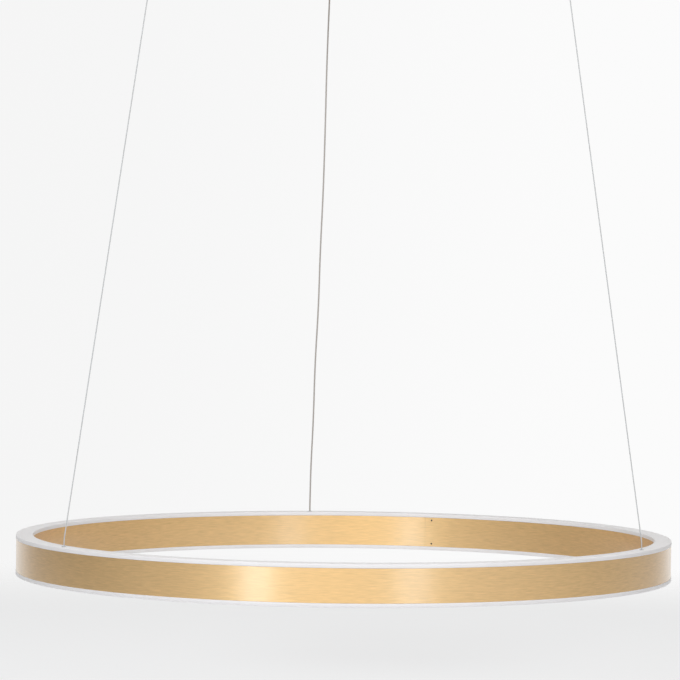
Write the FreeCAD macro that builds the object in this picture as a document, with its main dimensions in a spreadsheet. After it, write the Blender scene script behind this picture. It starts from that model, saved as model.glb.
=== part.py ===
"""Ring chandelier: a brushed gold ring between two opal diffusers, hung level from three
ceiling fittings by two steel wires and one power cord.

Millimetres. The origin is on the ceiling, on the ring's axis. +Z is up and +Y points away
from the room's front. The power cord hangs at the back, the plain wires at the front left
and front right.
"""

import FreeCAD, Part
import Sketcher

import math
import os
import re

from FreeCAD import Placement, Rotation, Vector

doc = FreeCAD.newDocument("ring_chandelier")
sheet = doc.addObject("Spreadsheet::Sheet", "sizes")

SIZES = [
    ("Ring band, a rolled H section",),
    ("ring_radius", 400, "outer radius of the gold band"),
    ("ring_drop", 785, "ceiling to the band's mid-height"),
    ("band_height", 39, "height of the band's two walls"),
    ("band_width", 20, "outer wall's face to inner wall's face"),
    ("band_wall", 1.5, "thickness of each wall"),
    ("band_web", 2, "thickness of the web between the walls"),
    ("edge_chamfer", 0.4, "chamfer along each wall's visible edge"),
    ("seam_gap", 0.15, "hairline between the rolled section's ends"),
    ("seam_offset", 9, "splice screws to the hairline"),
    ("cut_margin", 1, "how far a cut runs on past the faces that it goes through"),
    ("Splice behind the inner wall",),
    ("splice_deg", 72.1, "direction of the splice screws, from +X"),
    ("splice_arc_deg", 6, "length of each splice bar, as an angle"),
    ("splice_height", 7, "height of a splice bar"),
    ("splice_thickness", 2.6, "thickness of a splice bar"),
    ("splice_gap", 0.2, "splice bar to the diffuser's tongue"),
    ("splice_screw_inset", 3.9, "band's edge to the splice screw's axis"),
    ("splice_screw_radius", 1.2, "radius of a splice screw"),
    ("splice_screw_length", 3.7, "length of a splice screw"),
    ("splice_socket_radius", 0.7, "hexagon socket, across its corners, halved"),
    ("splice_socket_depth", 1.6, "depth of the hexagon socket"),
    ("splice_screw_sink", 0.25, "the screw's end lies this far below the wall's face"),
    ("Diffusers",),
    ("cap_thickness", 4.7, "part of a diffuser that stands clear of the band"),
    ("cap_overhang", 0.3, "diffuser past each wall's face"),
    ("cap_softening", 0.5, "chamfer along the diffuser's visible edges"),
    ("tongue_depth", 2, "tongue that sits between the walls"),
    ("tongue_play", 0.1, "tongue to each wall"),
    ("Light boards",),
    ("board_width", 12, "radial width of a light board"),
    ("board_thickness", 1.2, "thickness of a light board"),
    ("board_gap_deg", 2.2, "a board's end to the next anchor, as an angle"),
    ("chip_length", 3.5, "light chip along the ring"),
    ("chip_width", 2.8, "light chip across the ring"),
    ("chip_height", 0.8, "light chip's height"),
    ("chip_pitch", 20, "one light chip to the next"),
    ("Wires and cord",),
    ("wire_radius", 0.65, "sheathed steel wire"),
    ("cord_radius", 1, "power cord with a steel core"),
    ("wire_bend", 12, "radius of the bend at an anchor or gripper"),
    ("kink_height", 7, "diffuser's face to the bend above it"),
    ("back_anchor_deg", 96.9, "direction of the power cord's anchor"),
    ("left_anchor_deg", 213.8, "direction of the left wire's anchor"),
    ("right_anchor_deg", 333.9, "direction of the right wire's anchor"),
    ("Anchors in the web",),
    ("anchor_radius", 3, "threaded shank"),
    ("anchor_fit", 0.05, "shank to the hole in the web"),
    ("anchor_reach", 2, "shank above its nut"),
    ("anchor_flange_radius", 5, "flange under the web"),
    ("anchor_flange_thickness", 2, "flange under the web"),
    ("anchor_barrel_radius", 3.6, "barrel under the flange"),
    ("anchor_barrel_length", 6, "barrel under the flange"),
    ("anchor_bore_play", 0.3, "wire to the anchor's bore"),
    ("anchor_nut_height", 3, "nut on the web"),
    ("anchor_nut_radius", 5.5, "nut across its corners, halved"),
    ("ferrule_radius", 2, "crimped end sleeve"),
    ("ferrule_length", 5, "crimped end sleeve"),
    ("ferrule_seat", 4, "depth of the seat in the barrel"),
    ("ferrule_play", 0.1, "end sleeve to its seat"),
    ("grommet_radius", 1.9, "bush through the diffuser"),
    ("grommet_flange_radius", 2.8, "bush's flange"),
    ("grommet_flange_thickness", 0.5, "bush's flange"),
    ("grommet_play", 0.15, "wire to the bush's bore"),
    ("grommet_fit", 0.02, "bush to the hole in the diffuser"),
    ("Feed inside the ring",),
    ("lead_radius", 0.45, "one core between the cord and the boards"),
    ("lead_drop", 3, "cores bend this far below the end sleeve"),
    ("lead_arch", 4, "upper cores arch this far above the board"),
    ("lead_spread", 2.4, "cores stand this far either side at the boards"),
    ("feed_hole_offset", 9.5, "anchor's axis to the feed hole"),
    ("feed_hole_radius", 1.9, "hole through the web for the upper cores"),
    ("pad_overlap", 3, "cores reach this far over a board's end"),
    ("Ceiling pattern",),
    ("fixing_circle_radius", 277, "ring's axis to each ceiling fixing"),
    ("first_fixing_deg", 95.4, "direction of the back fixing, from +X"),
    ("fixing_hole_radius", 2.25, "hole for each ceiling screw"),
    ("Ceiling cups of the plain wires",),
    ("cup_radius", 14, "outside of a ceiling cup"),
    ("cup_depth", 24, "ceiling to the cup's underside"),
    ("cup_floor", 2.5, "thickness of the cup's floor"),
    ("cup_chamfer", 1, "lower outside edge"),
    ("rim_gap", 0.3, "cup or canopy rim to the ceiling"),
    ("base_radius", 12, "threaded base inside the cup"),
    ("base_thickness", 9, "threaded base inside the cup"),
    ("base_fit", 0.05, "base to the cup's thread"),
    ("countersink_depth", 2.4, "countersink for the ceiling screw"),
    ("Cable gripper",),
    ("neck_radius", 5, "threaded neck through the floor"),
    ("neck_length", 10, "neck above the collar"),
    ("neck_fit", 0.05, "neck to the floor's hole"),
    ("collar_radius", 6.5, "collar under the floor"),
    ("collar_length", 9, "straight part of the collar"),
    ("collar_cone", 5, "cone under the collar"),
    ("collar_tip_radius", 4.6, "lower end of the cone"),
    ("taper_start", 4, "collar's tip to the start of the inner taper"),
    ("taper_slope", 0.16, "the taper widens this much per millimetre"),
    ("ball_radius", 1, "gripping ball"),
    ("ball_gap", 0.03, "ball to wire and ball to taper"),
    ("ball_count", 3, "balls round the wire"),
    ("plunger_wall", 1.35, "wall of the release plunger"),
    ("plunger_bore_play", 0.25, "wire to the plunger's bore"),
    ("plunger_fit", 0.06, "plunger to the gripper's bore"),
    ("plunger_nose", 5, "plunger below the gripper"),
    ("plunger_flange", 1, "thickness of the flange under the spring"),
    ("plunger_hole_play", 0.06, "ball to its hole in the plunger"),
    ("cavity_margin", 1.2, "spring cavity past the plunger's face"),
    ("flange_play", 0.2, "flange to the cavity"),
    ("flange_lift", 0.4, "cavity's lower end to the flange"),
    ("stopper_length", 2, "threaded stopper above the spring"),
    ("stopper_fit", 0.02, "stopper to the cavity"),
    ("spring_wire", 0.3, "radius of the spring's wire"),
    ("spring_turns", 5, "turns of the spring"),
    ("lock_nut_radius", 8, "nut across its corners, halved"),
    ("lock_nut_height", 3, "nut on the floor"),
    ("wire_tail", 3, "wire above the gripper"),
    ("Canopy over the driver",),
    ("canopy_radius", 100, "outside of the canopy"),
    ("canopy_depth", 40, "ceiling to the canopy's underside"),
    ("canopy_wall", 1.2, "side wall"),
    ("canopy_floor", 1.5, "floor"),
    ("canopy_rounding", 4, "lower outside edge"),
    ("bar_width", 24, "bracket across the canopy"),
    ("bar_thickness", 1.5, "bracket's sheet"),
    ("bar_leg", 16, "length of the bracket's turned-down ends"),
    ("bar_play", 0.4, "leg to the canopy's wall"),
    ("side_screw_radius", 2, "thumb screw's shank"),
    ("side_screw_drop", 9, "ceiling to the thumb screw's axis"),
    ("side_screw_head_radius", 4, "thumb screw's head"),
    ("side_screw_head_length", 5, "thumb screw's head"),
    ("side_screw_reach", 4, "shank inside the leg"),
    ("screw_hole_play", 0.1, "screw to its clearance hole"),
    ("Driver",),
    ("driver_length", 132, "driver housing along X"),
    ("driver_width", 40, "driver housing along Y"),
    ("driver_height", 22, "driver housing without its lid"),
    ("driver_wall", 1.6, "housing wall and floor"),
    ("driver_lid_thickness", 1.6, "lid"),
    ("driver_offset", 17, "canopy's axis to the housing's near side"),
    ("driver_board_lift", 3, "housing floor to circuit board"),
    ("driver_board_thickness", 1.6, "circuit board"),
    ("driver_board_play", 0.3, "circuit board to housing wall"),
    ("stand_radius", 2, "posts under the circuit board"),
    ("coil_length", 26, "transformer along X"),
    ("coil_width", 22, "transformer along Y"),
    ("coil_height", 13, "transformer's height"),
    ("coil_place", 12, "transformer's centre along X"),
    ("coil_bobbin", 2, "bobbin past the core on each side"),
    ("coil_bobbin_length", 13, "bobbin along X"),
    ("capacitor_radius", 5, "smoothing capacitors"),
    ("capacitor_height", 12, "smoothing capacitors"),
    ("capacitor_place", 40, "first capacitor's place along X"),
    ("capacitor_pitch", 12, "one capacitor to the next"),
    ("capacitor_count", 2, "capacitors on the board"),
    ("Mains connection",),
    ("terminal_length", 34, "terminal block along X"),
    ("terminal_width", 16, "terminal block along Y"),
    ("terminal_height", 12, "terminal block's height"),
    ("terminal_place", 48, "terminal block's centre along X"),
    ("terminal_pitch", 10, "one pole to the next"),
    ("terminal_well_radius", 2.2, "screw well in each pole"),
    ("terminal_well_place", 4, "block's middle to the wells, away from the driver"),
    ("terminal_well", 5, "depth of a screw well"),
    ("terminal_screw_radius", 1.9, "screw in each well"),
    ("terminal_screw_length", 3.5, "screw in each well"),
    ("wire_entry_radius", 1.4, "hole for a core in each pole"),
    ("wire_entry_depth", 5, "hole for a core in each pole"),
    ("wire_entry_drop", 7, "bracket to the core's hole"),
    ("earth_place", 45, "earth screw's distance from the axis"),
    ("earth_screw_radius", 2, "earth screw's shank"),
    ("earth_screw_length", 5, "shank under the bracket"),
    ("earth_nut_radius", 4.2, "earth nut across its corners, halved"),
    ("earth_nut_height", 3, "earth nut"),
    ("mains_lead_radius", 0.9, "insulated core"),
    ("mains_lead_play", 0.2, "core to the hole in the housing"),
    ("mains_lead_margin", 0.5, "a core's bends to the block and to the housing"),
    ("lead_entry_height", 17, "canopy floor to the cores' holes in the housing"),
    ("lead_inside", 3, "core inside the housing's wall"),
]


def fill_sheet():
    """Each driving size is a plain number with a name of its own."""
    row = 0
    for entry in SIZES:
        row += 1
        sheet.set(f"A{row}", entry[0])
        if len(entry) == 1:
            continue
        name, value, note = entry
        sheet.set(f"B{row}", str(value))
        sheet.setAlias(f"B{row}", name)
        sheet.set(f"C{row}", note)
    doc.recompute()


fill_sheet()
NAMES = {entry[0] for entry in SIZES if len(entry) == 3}


def bound(text):
    """A formula in size names, with each name pointing at its cell."""
    return re.sub(r"[a-z_]+", lambda m: f"sizes.{m[0]}" if m[0] in NAMES else m[0], str(text))


def value(text):
    """What a formula in size names comes to now, as a plain number."""
    return float(sheet.evalExpression(bound(text)))


def tie(thing, **formulas):
    """Binds properties of an object to formulas. Two underscores stand for a dot."""
    for name, text in formulas.items():
        thing.setExpression(name.replace("__", "."), bound(text))


def place(thing, x="0", y="0", z="0", turn="0"):
    """Binds a sub-part's place, and its turn about the vertical in degrees."""
    thing.Placement = Placement(Vector(), Rotation(Vector(0, 0, 1), 0))
    tie(thing, Placement__Base__x=x, Placement__Base__y=y, Placement__Base__z=z)
    tie(thing, Placement__Rotation__Angle=turn)


def origin_part(body, role):
    """One of a body's own planes or axes."""
    return next(f for f in body.Origin.OriginFeatures if f.Role == role)


def new_body(label):
    body = doc.addObject("PartDesign::Body", label)
    body.Label = label
    return body


def new_sketch(body, role):
    sketch = body.newObject("Sketcher::SketchObject", f"{body.Name}_{role}_sketch")
    sketch.AttachmentSupport = [(origin_part(body, role), "")]
    sketch.MapMode = "FlatFace"
    return sketch


def pin_point(sketch, line, end, x, y):
    """Holds a sketch point at two formulas."""
    for kind, text in (("DistanceX", x), ("DistanceY", y)):
        number = sketch.addConstraint(Sketcher.Constraint(kind, -1, 1, line, end, value(text)))
        sketch.setExpression(f"Constraints[{number}]", bound(text))


def draw_outline(sketch, corners):
    """A closed outline of straight lines through the corners."""
    points = [Vector(value(x), value(y), 0) for x, y in corners]
    first = sketch.GeometryCount
    for i, start in enumerate(points):
        sketch.addGeometry(Part.LineSegment(start, points[(i + 1) % len(points)]))
    for i, (x, y) in enumerate(corners):
        after = first + (i + 1) % len(points)
        sketch.addConstraint(Sketcher.Constraint("Coincident", first + i, 2, after, 1))
        pin_point(sketch, first + i, 1, x, y)


def draw_circle(sketch, x, y, radius):
    number = sketch.addGeometry(Part.Circle(Vector(value(x), value(y), 0), Vector(0, 0, 1), value(radius)))
    pin_point(sketch, number, 3, x, y)
    held = sketch.addConstraint(Sketcher.Constraint("Radius", number, value(radius)))
    sketch.setExpression(f"Constraints[{held}]", bound(radius))


def turned(label, corners, angle=None):
    """A body turned about the vertical axis from corners given as radius and height.
    With an angle, it is a stretch of ring centred on the body's own X direction."""
    body = new_body(label)
    sketch = new_sketch(body, "XZ_Plane")
    draw_outline(sketch, corners)
    turn = body.newObject("PartDesign::Revolution", f"{label}_turn")
    turn.Profile = sketch
    turn.ReferenceAxis = (sketch, ["V_Axis"])
    turn.Angle = 360
    if angle:
        turn.Midplane = True
        tie(turn, Angle=angle)
    doc.recompute()
    return body


def cut_holes(body, role, circles, reach=None, backwards=False):
    """Drills circles through a body: all the way both ways, or one way as far as reach."""
    sketch = new_sketch(body, role)
    for x, y, radius in circles:
        draw_circle(sketch, x, y, radius)
    return cut_sketch(body, sketch, reach, backwards)


def cut_sketch(body, sketch, reach=None, backwards=False):
    before = len(body.Shape.Faces)
    pocket = body.newObject("PartDesign::Pocket", f"{body.Name}_cut")
    pocket.Profile = sketch
    if reach:
        pocket.Type = "Length"
        pocket.Reversed = backwards
        tie(pocket, Length=reach)
    else:
        pocket.Type = "ThroughAll"
        pocket.Midplane = True
    doc.recompute()
    if len(body.Shape.Faces) <= before:
        raise RuntimeError(f"{body.Label}: a cut takes nothing away")
    return pocket


def block(label, x, y, z, length, width, height):
    """A plain box, by its lowest corner."""
    box = doc.addObject("Part::Box", label)
    tie(box, Length=length, Width=width, Height=height)
    place(box, x, y, z)
    return box


def rod(label, radius, height, x="0", y="0", z="0"):
    """A plain upright cylinder, by the middle of its lower end."""
    cylinder = doc.addObject("Part::Cylinder", label)
    tie(cylinder, Radius=radius, Height=height)
    place(cylinder, x, y, z)
    return cylinder


def hexagon(label, radius, height, x="0", y="0", z="0"):
    prism = doc.addObject("Part::Prism", label)
    prism.Polygon = 6
    tie(prism, Circumradius=radius, Height=height)
    place(prism, x, y, z)
    return prism


def less(label, base, tool):
    cut = doc.addObject("Part::Cut", label)
    cut.Base = base
    cut.Tool = tool
    return cut


def joined(label, pieces):
    fuse = doc.addObject("Part::MultiFuse", label)
    fuse.Shapes = pieces
    return fuse


def group(label, pieces):
    """Like pieces in one node, each still a solid of its own."""
    compound = doc.addObject("Part::Compound", label)
    compound.Links = pieces
    return compound


def free_shape(label, shape):
    feature = doc.addObject("Part::Feature", label)
    feature.Shape = shape
    return feature


# Places that several pieces share, as formulas in the sheet's names.
INNER = "(ring_radius - band_width)"
MIDDLE = "(ring_radius - band_width / 2)"
HALF = "(band_height / 2)"
WEB = "(band_web / 2)"
FACE = f"({HALF} + cap_thickness)"
BOARD = f"({WEB} + board_thickness)"
FEED_DEG = f"(feed_hole_offset / {MIDDLE} * 180 / pi)"
RING = "-ring_drop"
ANCHORS = {"back": "back_anchor_deg", "left": "left_anchor_deg", "right": "right_anchor_deg"}
FIXINGS = {
    "back": "first_fixing_deg",
    "left": "(first_fixing_deg + 120)",
    "right": "(first_fixing_deg + 240)",
}
STRANDS = {"back": "cord_radius", "left": "wire_radius", "right": "wire_radius"}
FLOORS = {"back": "canopy_floor", "left": "cup_floor", "right": "cup_floor"}
DEPTHS = {"back": "canopy_depth", "left": "cup_depth", "right": "cup_depth"}
SIDES = ("back", "left", "right")
ENDS = (("upper", 1), ("lower", -1))


def around(radius, degrees):
    """X and Y formulas of a point at a radius and a direction."""
    return f"{radius} * cos({degrees})", f"{radius} * sin({degrees})"


def ring_band():
    """The gold H section: two walls and a web, with one hairline seam, the anchors' holes,
    the feed hole and the splice screws' holes. Its own X direction is the splice's."""
    outer, wall, edge = "ring_radius", "band_wall", "edge_chamfer"
    body = turned("ring_band", [
        (f"{INNER} + {edge}", f"-{HALF}"),
        (f"{INNER} + {wall}", f"-{HALF}"),
        (f"{INNER} + {wall}", f"-{WEB}"),
        (f"{outer} - {wall}", f"-{WEB}"),
        (f"{outer} - {wall}", f"-{HALF}"),
        (f"{outer} - {edge}", f"-{HALF}"),
        (outer, f"{edge} - {HALF}"),
        (outer, f"{HALF} - {edge}"),
        (f"{outer} - {edge}", HALF),
        (f"{outer} - {wall}", HALF),
        (f"{outer} - {wall}", WEB),
        (f"{INNER} + {wall}", WEB),
        (f"{INNER} + {wall}", HALF),
        (f"{INNER} + {edge}", HALF),
        (INNER, f"{HALF} - {edge}"),
        (INNER, f"{edge} - {HALF}"),
    ])
    holes = [
        (*around(MIDDLE, f"{ANCHORS[side]} - splice_deg"), "anchor_radius + anchor_fit") for side in SIDES
    ]
    holes.append((*around(MIDDLE, f"back_anchor_deg - splice_deg + {FEED_DEG}"), "feed_hole_radius"))
    cut_holes(body, "XY_Plane", holes)
    inset = f"({HALF} - splice_screw_inset)"
    screws = [("0", f"{end} * {inset}", "splice_screw_radius") for _, end in ENDS]
    cut_holes(body, "YZ_Plane", screws, reach=f"{INNER} + {wall} + cut_margin", backwards=True)
    seam = new_sketch(body, "XY_Plane")
    draw_outline(seam, [
        (f"{INNER} - cut_margin", "seam_offset"),
        (f"{outer} + cut_margin", "seam_offset"),
        (f"{outer} + cut_margin", "seam_offset + seam_gap"),
        (f"{INNER} - cut_margin", "seam_offset + seam_gap"),
    ])
    cut_sketch(body, seam)
    place(body, z=RING, turn="splice_deg")
    return body


def splice_bar(label, end):
    """A curved bar behind the inner wall that bridges the seam, drilled for its screw."""
    low = f"{end} * ({HALF} - tongue_depth - splice_gap - splice_height)"
    high = f"{end} * ({HALF} - tongue_depth - splice_gap)"
    near = f"{INNER} + band_wall"
    far = f"{near} + splice_thickness"
    body = turned(label, [(near, low), (far, low), (far, high), (near, high)], "splice_arc_deg")
    screw = [("0", f"{end} * ({HALF} - splice_screw_inset)", "splice_screw_radius")]
    cut_holes(body, "YZ_Plane", screw, reach=f"{far} + cut_margin", backwards=True)
    place(body, z=RING, turn="splice_deg")
    return body


def splice_screws():
    """Two grub screws with hexagon sockets, just below the inner wall's face."""
    screws = []
    x, y = around(f"({INNER} + splice_screw_sink)", "splice_deg")
    for name, end in ENDS:
        shank = rod(f"{name}_splice_shank", "splice_screw_radius", "splice_screw_length")
        socket = hexagon(f"{name}_splice_socket", "splice_socket_radius", "splice_socket_depth")
        screw = less(f"{name}_splice_screw", shank, socket)
        height = f"{RING} + {end} * ({HALF} - splice_screw_inset)"
        screw.Placement = Placement(Vector(), Rotation(value("splice_deg"), 90, 0))
        tie(screw, Placement__Base__x=x, Placement__Base__y=y, Placement__Base__z=height)
        screws.append(screw)
    return group("splice_screws", screws)


def diffuser(label, end):
    """An opal ring that covers the band's width, with a tongue between the walls."""
    near, far = f"{INNER} - cap_overhang", "ring_radius + cap_overhang"
    tongue_near = f"{INNER} + band_wall + tongue_play"
    tongue_far = "ring_radius - band_wall - tongue_play"
    soft = "cap_softening"
    return turned(label, [(r, f"{end} * ({height})") for r, height in (
        (tongue_near, f"{HALF} - tongue_depth"),
        (tongue_far, f"{HALF} - tongue_depth"),
        (tongue_far, HALF),
        (far, HALF),
        (far, f"{FACE} - {soft}"),
        (f"{far} - {soft}", FACE),
        (f"{near} + {soft}", FACE),
        (near, f"{FACE} - {soft}"),
        (near, HALF),
        (tongue_near, HALF),
    )])


def diffusers():
    """The upper one is drilled for the three bushes; the lower one is plain."""
    upper = diffuser("upper_diffuser", 1)
    cut_holes(upper, "XY_Plane", [
        (*around(MIDDLE, ANCHORS[side]), "grommet_radius + grommet_fit") for side in SIDES
    ])
    place(upper, z=RING)
    lower = diffuser("lower_diffuser", -1)
    place(lower, z=RING)
    return [upper, lower]


def light_board(label, end, start, finish):
    """A stiff board on the web, from one anchor to the next."""
    near, far = f"{MIDDLE} - board_width / 2", f"{MIDDLE} + board_width / 2"
    low, high = f"{end} * {WEB}", f"{end} * {BOARD}"
    span = f"{finish} - {start} - 2 * board_gap_deg"
    body = turned(label, [(near, low), (far, low), (far, high), (near, high)], span)
    place(body, z=RING, turn=f"({start} + {finish}) / 2")
    return body


BOARD_SPANS = (
    ("rear_left", "back_anchor_deg", "left_anchor_deg"),
    ("front", "left_anchor_deg", "right_anchor_deg"),
    ("rear_right", "(right_anchor_deg - 360)", "back_anchor_deg"),
)


def light_chips(label, end):
    """The row of light chips on the three boards of one side."""
    middle, pitch = value(MIDDLE), value("chip_pitch")
    length, width, height = (value(f"chip_{side}") for side in ("length", "width", "height"))
    level = value(BOARD) if end > 0 else -value(BOARD) - height
    step = math.degrees(pitch / middle)
    chips = []
    for _, start, finish in BOARD_SPANS:
        first = value(f"{start} + board_gap_deg")
        span = value(f"{finish} - board_gap_deg") - first
        count = int(span / step)
        for i in range(count):
            chip = Part.makeBox(width, length, height, Vector(middle - width / 2, -length / 2, level))
            chip.rotate(Vector(), Vector(0, 0, 1), first + span * (i + 0.5) / count)
            chips.append(chip)
    feature = free_shape(label, Part.makeCompound(chips))
    place(feature, z=RING)
    return feature


def wire_anchor(side):
    """A hollow stud through the web. Its flange takes the pull from below."""
    bore = f"{STRANDS[side]} + anchor_bore_play"
    top = f"{WEB} + anchor_nut_height + anchor_reach"
    under = f"-({WEB} + anchor_flange_thickness)"
    bottom = f"-({WEB} + anchor_flange_thickness + anchor_barrel_length)"
    body = turned(f"wire_anchor_{side}", [
        (bore, top),
        ("anchor_radius", top),
        ("anchor_radius", f"-{WEB}"),
        ("anchor_flange_radius", f"-{WEB}"),
        ("anchor_flange_radius", under),
        ("anchor_barrel_radius", under),
        ("anchor_barrel_radius", bottom),
        ("ferrule_radius + ferrule_play", bottom),
        ("ferrule_radius + ferrule_play", f"{bottom} + ferrule_seat"),
        (bore, f"{bottom} + ferrule_seat"),
    ])
    place(body, *around(MIDDLE, ANCHORS[side]), RING)
    return body


FERRULE_TOP = f"({WEB} + anchor_flange_thickness + anchor_barrel_length - ferrule_seat)"
STRAND_END = f"({FERRULE_TOP} + ferrule_length)"


def at_anchor(side, level):
    """X, Y and Z formulas of a point on an anchor's axis, level being above the band's middle."""
    return (*around(MIDDLE, ANCHORS[side]), f"{level} - ring_drop")


def ferrule(side, label):
    """The crimped sleeve on a strand's end, seated in its anchor."""
    start = at_anchor(side, f"-{STRAND_END}")
    sleeve = rod(f"{label}_outside", "ferrule_radius", "ferrule_length", *start)
    hole = rod(f"{label}_hole", STRANDS[side], "ferrule_length", *start)
    return less(label, sleeve, hole)


def anchor_nuts():
    nuts = []
    for side in SIDES:
        start = at_anchor(side, WEB)
        solid = hexagon(f"anchor_nut_{side}_hexagon", "anchor_nut_radius", "anchor_nut_height", *start)
        hole = rod(f"anchor_nut_{side}_hole", "anchor_radius", "anchor_nut_height", *start)
        nuts.append(less(f"anchor_nut_{side}", solid, hole))
    return group("anchor_nuts", nuts)


def wire_grommets():
    """A flanged clear bush where each strand goes through the upper diffuser."""
    bushes = []
    for side in SIDES:
        under = at_anchor(side, f"({HALF} - tongue_depth)")
        face = at_anchor(side, FACE)
        depth = "(cap_thickness + tongue_depth)"
        tube = rod(f"grommet_{side}_tube", "grommet_radius", depth, *under)
        flange = rod(f"grommet_{side}_flange", "grommet_flange_radius", "grommet_flange_thickness", *face)
        hole = rod(
            f"grommet_{side}_hole",
            f"{STRANDS[side]} + grommet_play",
            f"{depth} + grommet_flange_thickness",
            *under,
        )
        bush = joined(f"grommet_{side}_bush", [tube, flange])
        bushes.append(less(f"grommet_{side}", bush, hole))
    return group("wire_grommets", bushes)


def rounded_route(points, bends=None):
    """Straight runs joined by tangent arcs. Each arc is as large as its two runs allow, or
    has the radius given for its corner."""
    edges, radii = [], []
    start = points[0]
    for i in range(1, len(points) - 1):
        corner = points[i]
        back, ahead = points[i - 1] - corner, points[i + 1] - corner
        turn = math.pi - back.getAngle(ahead)
        radius = 0.45 * min(back.Length, ahead.Length) / math.tan(turn / 2)
        if bends and bends.get(i):
            radius = min(radius, bends[i])
        setback = radius * math.tan(turn / 2)
        back.normalize()
        ahead.normalize()
        enter, leave = corner + back * setback, corner + ahead * setback
        inward = back + ahead
        inward.normalize()
        centre = corner + inward * (radius / math.cos(turn / 2))
        middle = centre - inward * radius
        edges.append(Part.LineSegment(start, enter).toShape())
        edges.append(Part.Arc(enter, middle, leave).toShape())
        radii.append(radius)
        start = leave
    edges.append(Part.LineSegment(start, points[-1]).toShape())
    return Part.Wire(edges), radii


def tube(name, points, radius, bends=None):
    """A round tube along a rounded route, checked against its section times its length."""
    route, radii = rounded_route(points, bends)
    circle = Part.Wire(Part.Circle(points[0], points[1] - points[0], radius).toShape())
    solid = route.makePipeShell([circle], True, False)
    expected = math.pi * radius**2 * route.Length
    if abs(solid.Volume / expected - 1) > 0.002 or not solid.isValid():
        raise RuntimeError(f"{name}: volume {solid.Volume:.2f}, section times length {expected:.2f}")
    shown = ", ".join(f"{r:.0f}" for r in radii)
    print(f"{name}: length {route.Length:.1f}, bends {shown}, volume {solid.Volume:.1f} of {expected:.1f}")
    return solid


def spot(x, y, z):
    return Vector(value(x), value(y), value(z))


def gripper_seat(side, level):
    """X, Y and Z formulas of a point on a gripper's axis, level being above its collar."""
    return (*around("fixing_circle_radius", FIXINGS[side]), f"{level} - {DEPTHS[side]}")


GRIPPER_TIP = "-(collar_length + collar_cone)"
TAPER_LOW = f"({GRIPPER_TIP} + taper_start)"
NOSE_TIP = f"({GRIPPER_TIP} - plunger_nose)"

# The power cord isn't quite straight. Each pair is a height above the band's middle and
# how far the cord lies to the right of a straight line there.
CORD_WAVES = (
    (625, -0.4),
    (540, 0.9),
    (450, 1.6),
    (375, 0.6),
    (300, 1.3),
    (225, -0.5),
    (150, 0.3),
    (85, -0.7),
)


def strand(label, side, top):
    """A wire or cord from its gripper down to its anchor: upright in both, leaning between."""
    high = spot(*gripper_seat(side, top))
    nose = spot(*gripper_seat(side, NOSE_TIP))
    kink = spot(*at_anchor(side, f"{FACE} + kink_height"))
    low = spot(*at_anchor(side, f"-{STRAND_END}"))
    between = []
    if side == "back":
        for height, sideways in CORD_WAVES:
            z = height - value("ring_drop")
            between.append(nose + (kink - nose) * ((nose.z - z) / (nose.z - kink.z)) + Vector(sideways, 0, 0))
    points = [high, nose, *between, kink, low]
    bend = value("wire_bend")
    bends = {1: bend, len(points) - 2: bend}
    return free_shape(label, tube(label, points, value(STRANDS[side]), bends))


def feed_leads():
    """The cord's cores run on to the boards: two below the web, two up through the feed hole.
    Along is the way round the ring from the anchor, across is outwards."""
    shift = value("cord_radius") / 2
    end, low = -value(STRAND_END), -value(f"{STRAND_END} + lead_drop")
    reach = value(f"{MIDDLE} * board_gap_deg * pi / 180 + pad_overlap")
    rise, spread, board = value("feed_hole_offset"), value("lead_spread"), value(BOARD)
    core, arch = value("lead_radius"), value("lead_arch")
    up = Rotation(Vector(0, 0, 1), value("back_anchor_deg"))
    anchor = spot(*at_anchor("back", "0"))

    def along_ring(route):
        return [anchor + up.multVec(Vector(across, along, z)) for along, across, z in route]

    cores = []
    for hand in (1, -1):
        lower = [
            (-shift, hand * shift, end),
            (-shift, hand * shift, low),
            (-reach, hand * spread, low),
            (-reach, hand * spread, -board),
        ]
        upper = [
            (shift, hand * shift, end),
            (shift, hand * shift, low - 2 * core),
            (rise, hand * shift, low - 2 * core),
            (rise, hand * shift, board + arch),
            (reach, hand * spread, board + arch),
            (reach, hand * spread, board),
        ]
        cores.append(tube("lower feed core", along_ring(lower), core))
        cores.append(tube("upper feed core", along_ring(upper), core))
    return free_shape("feed_leads", Part.makeCompound(cores))


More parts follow.
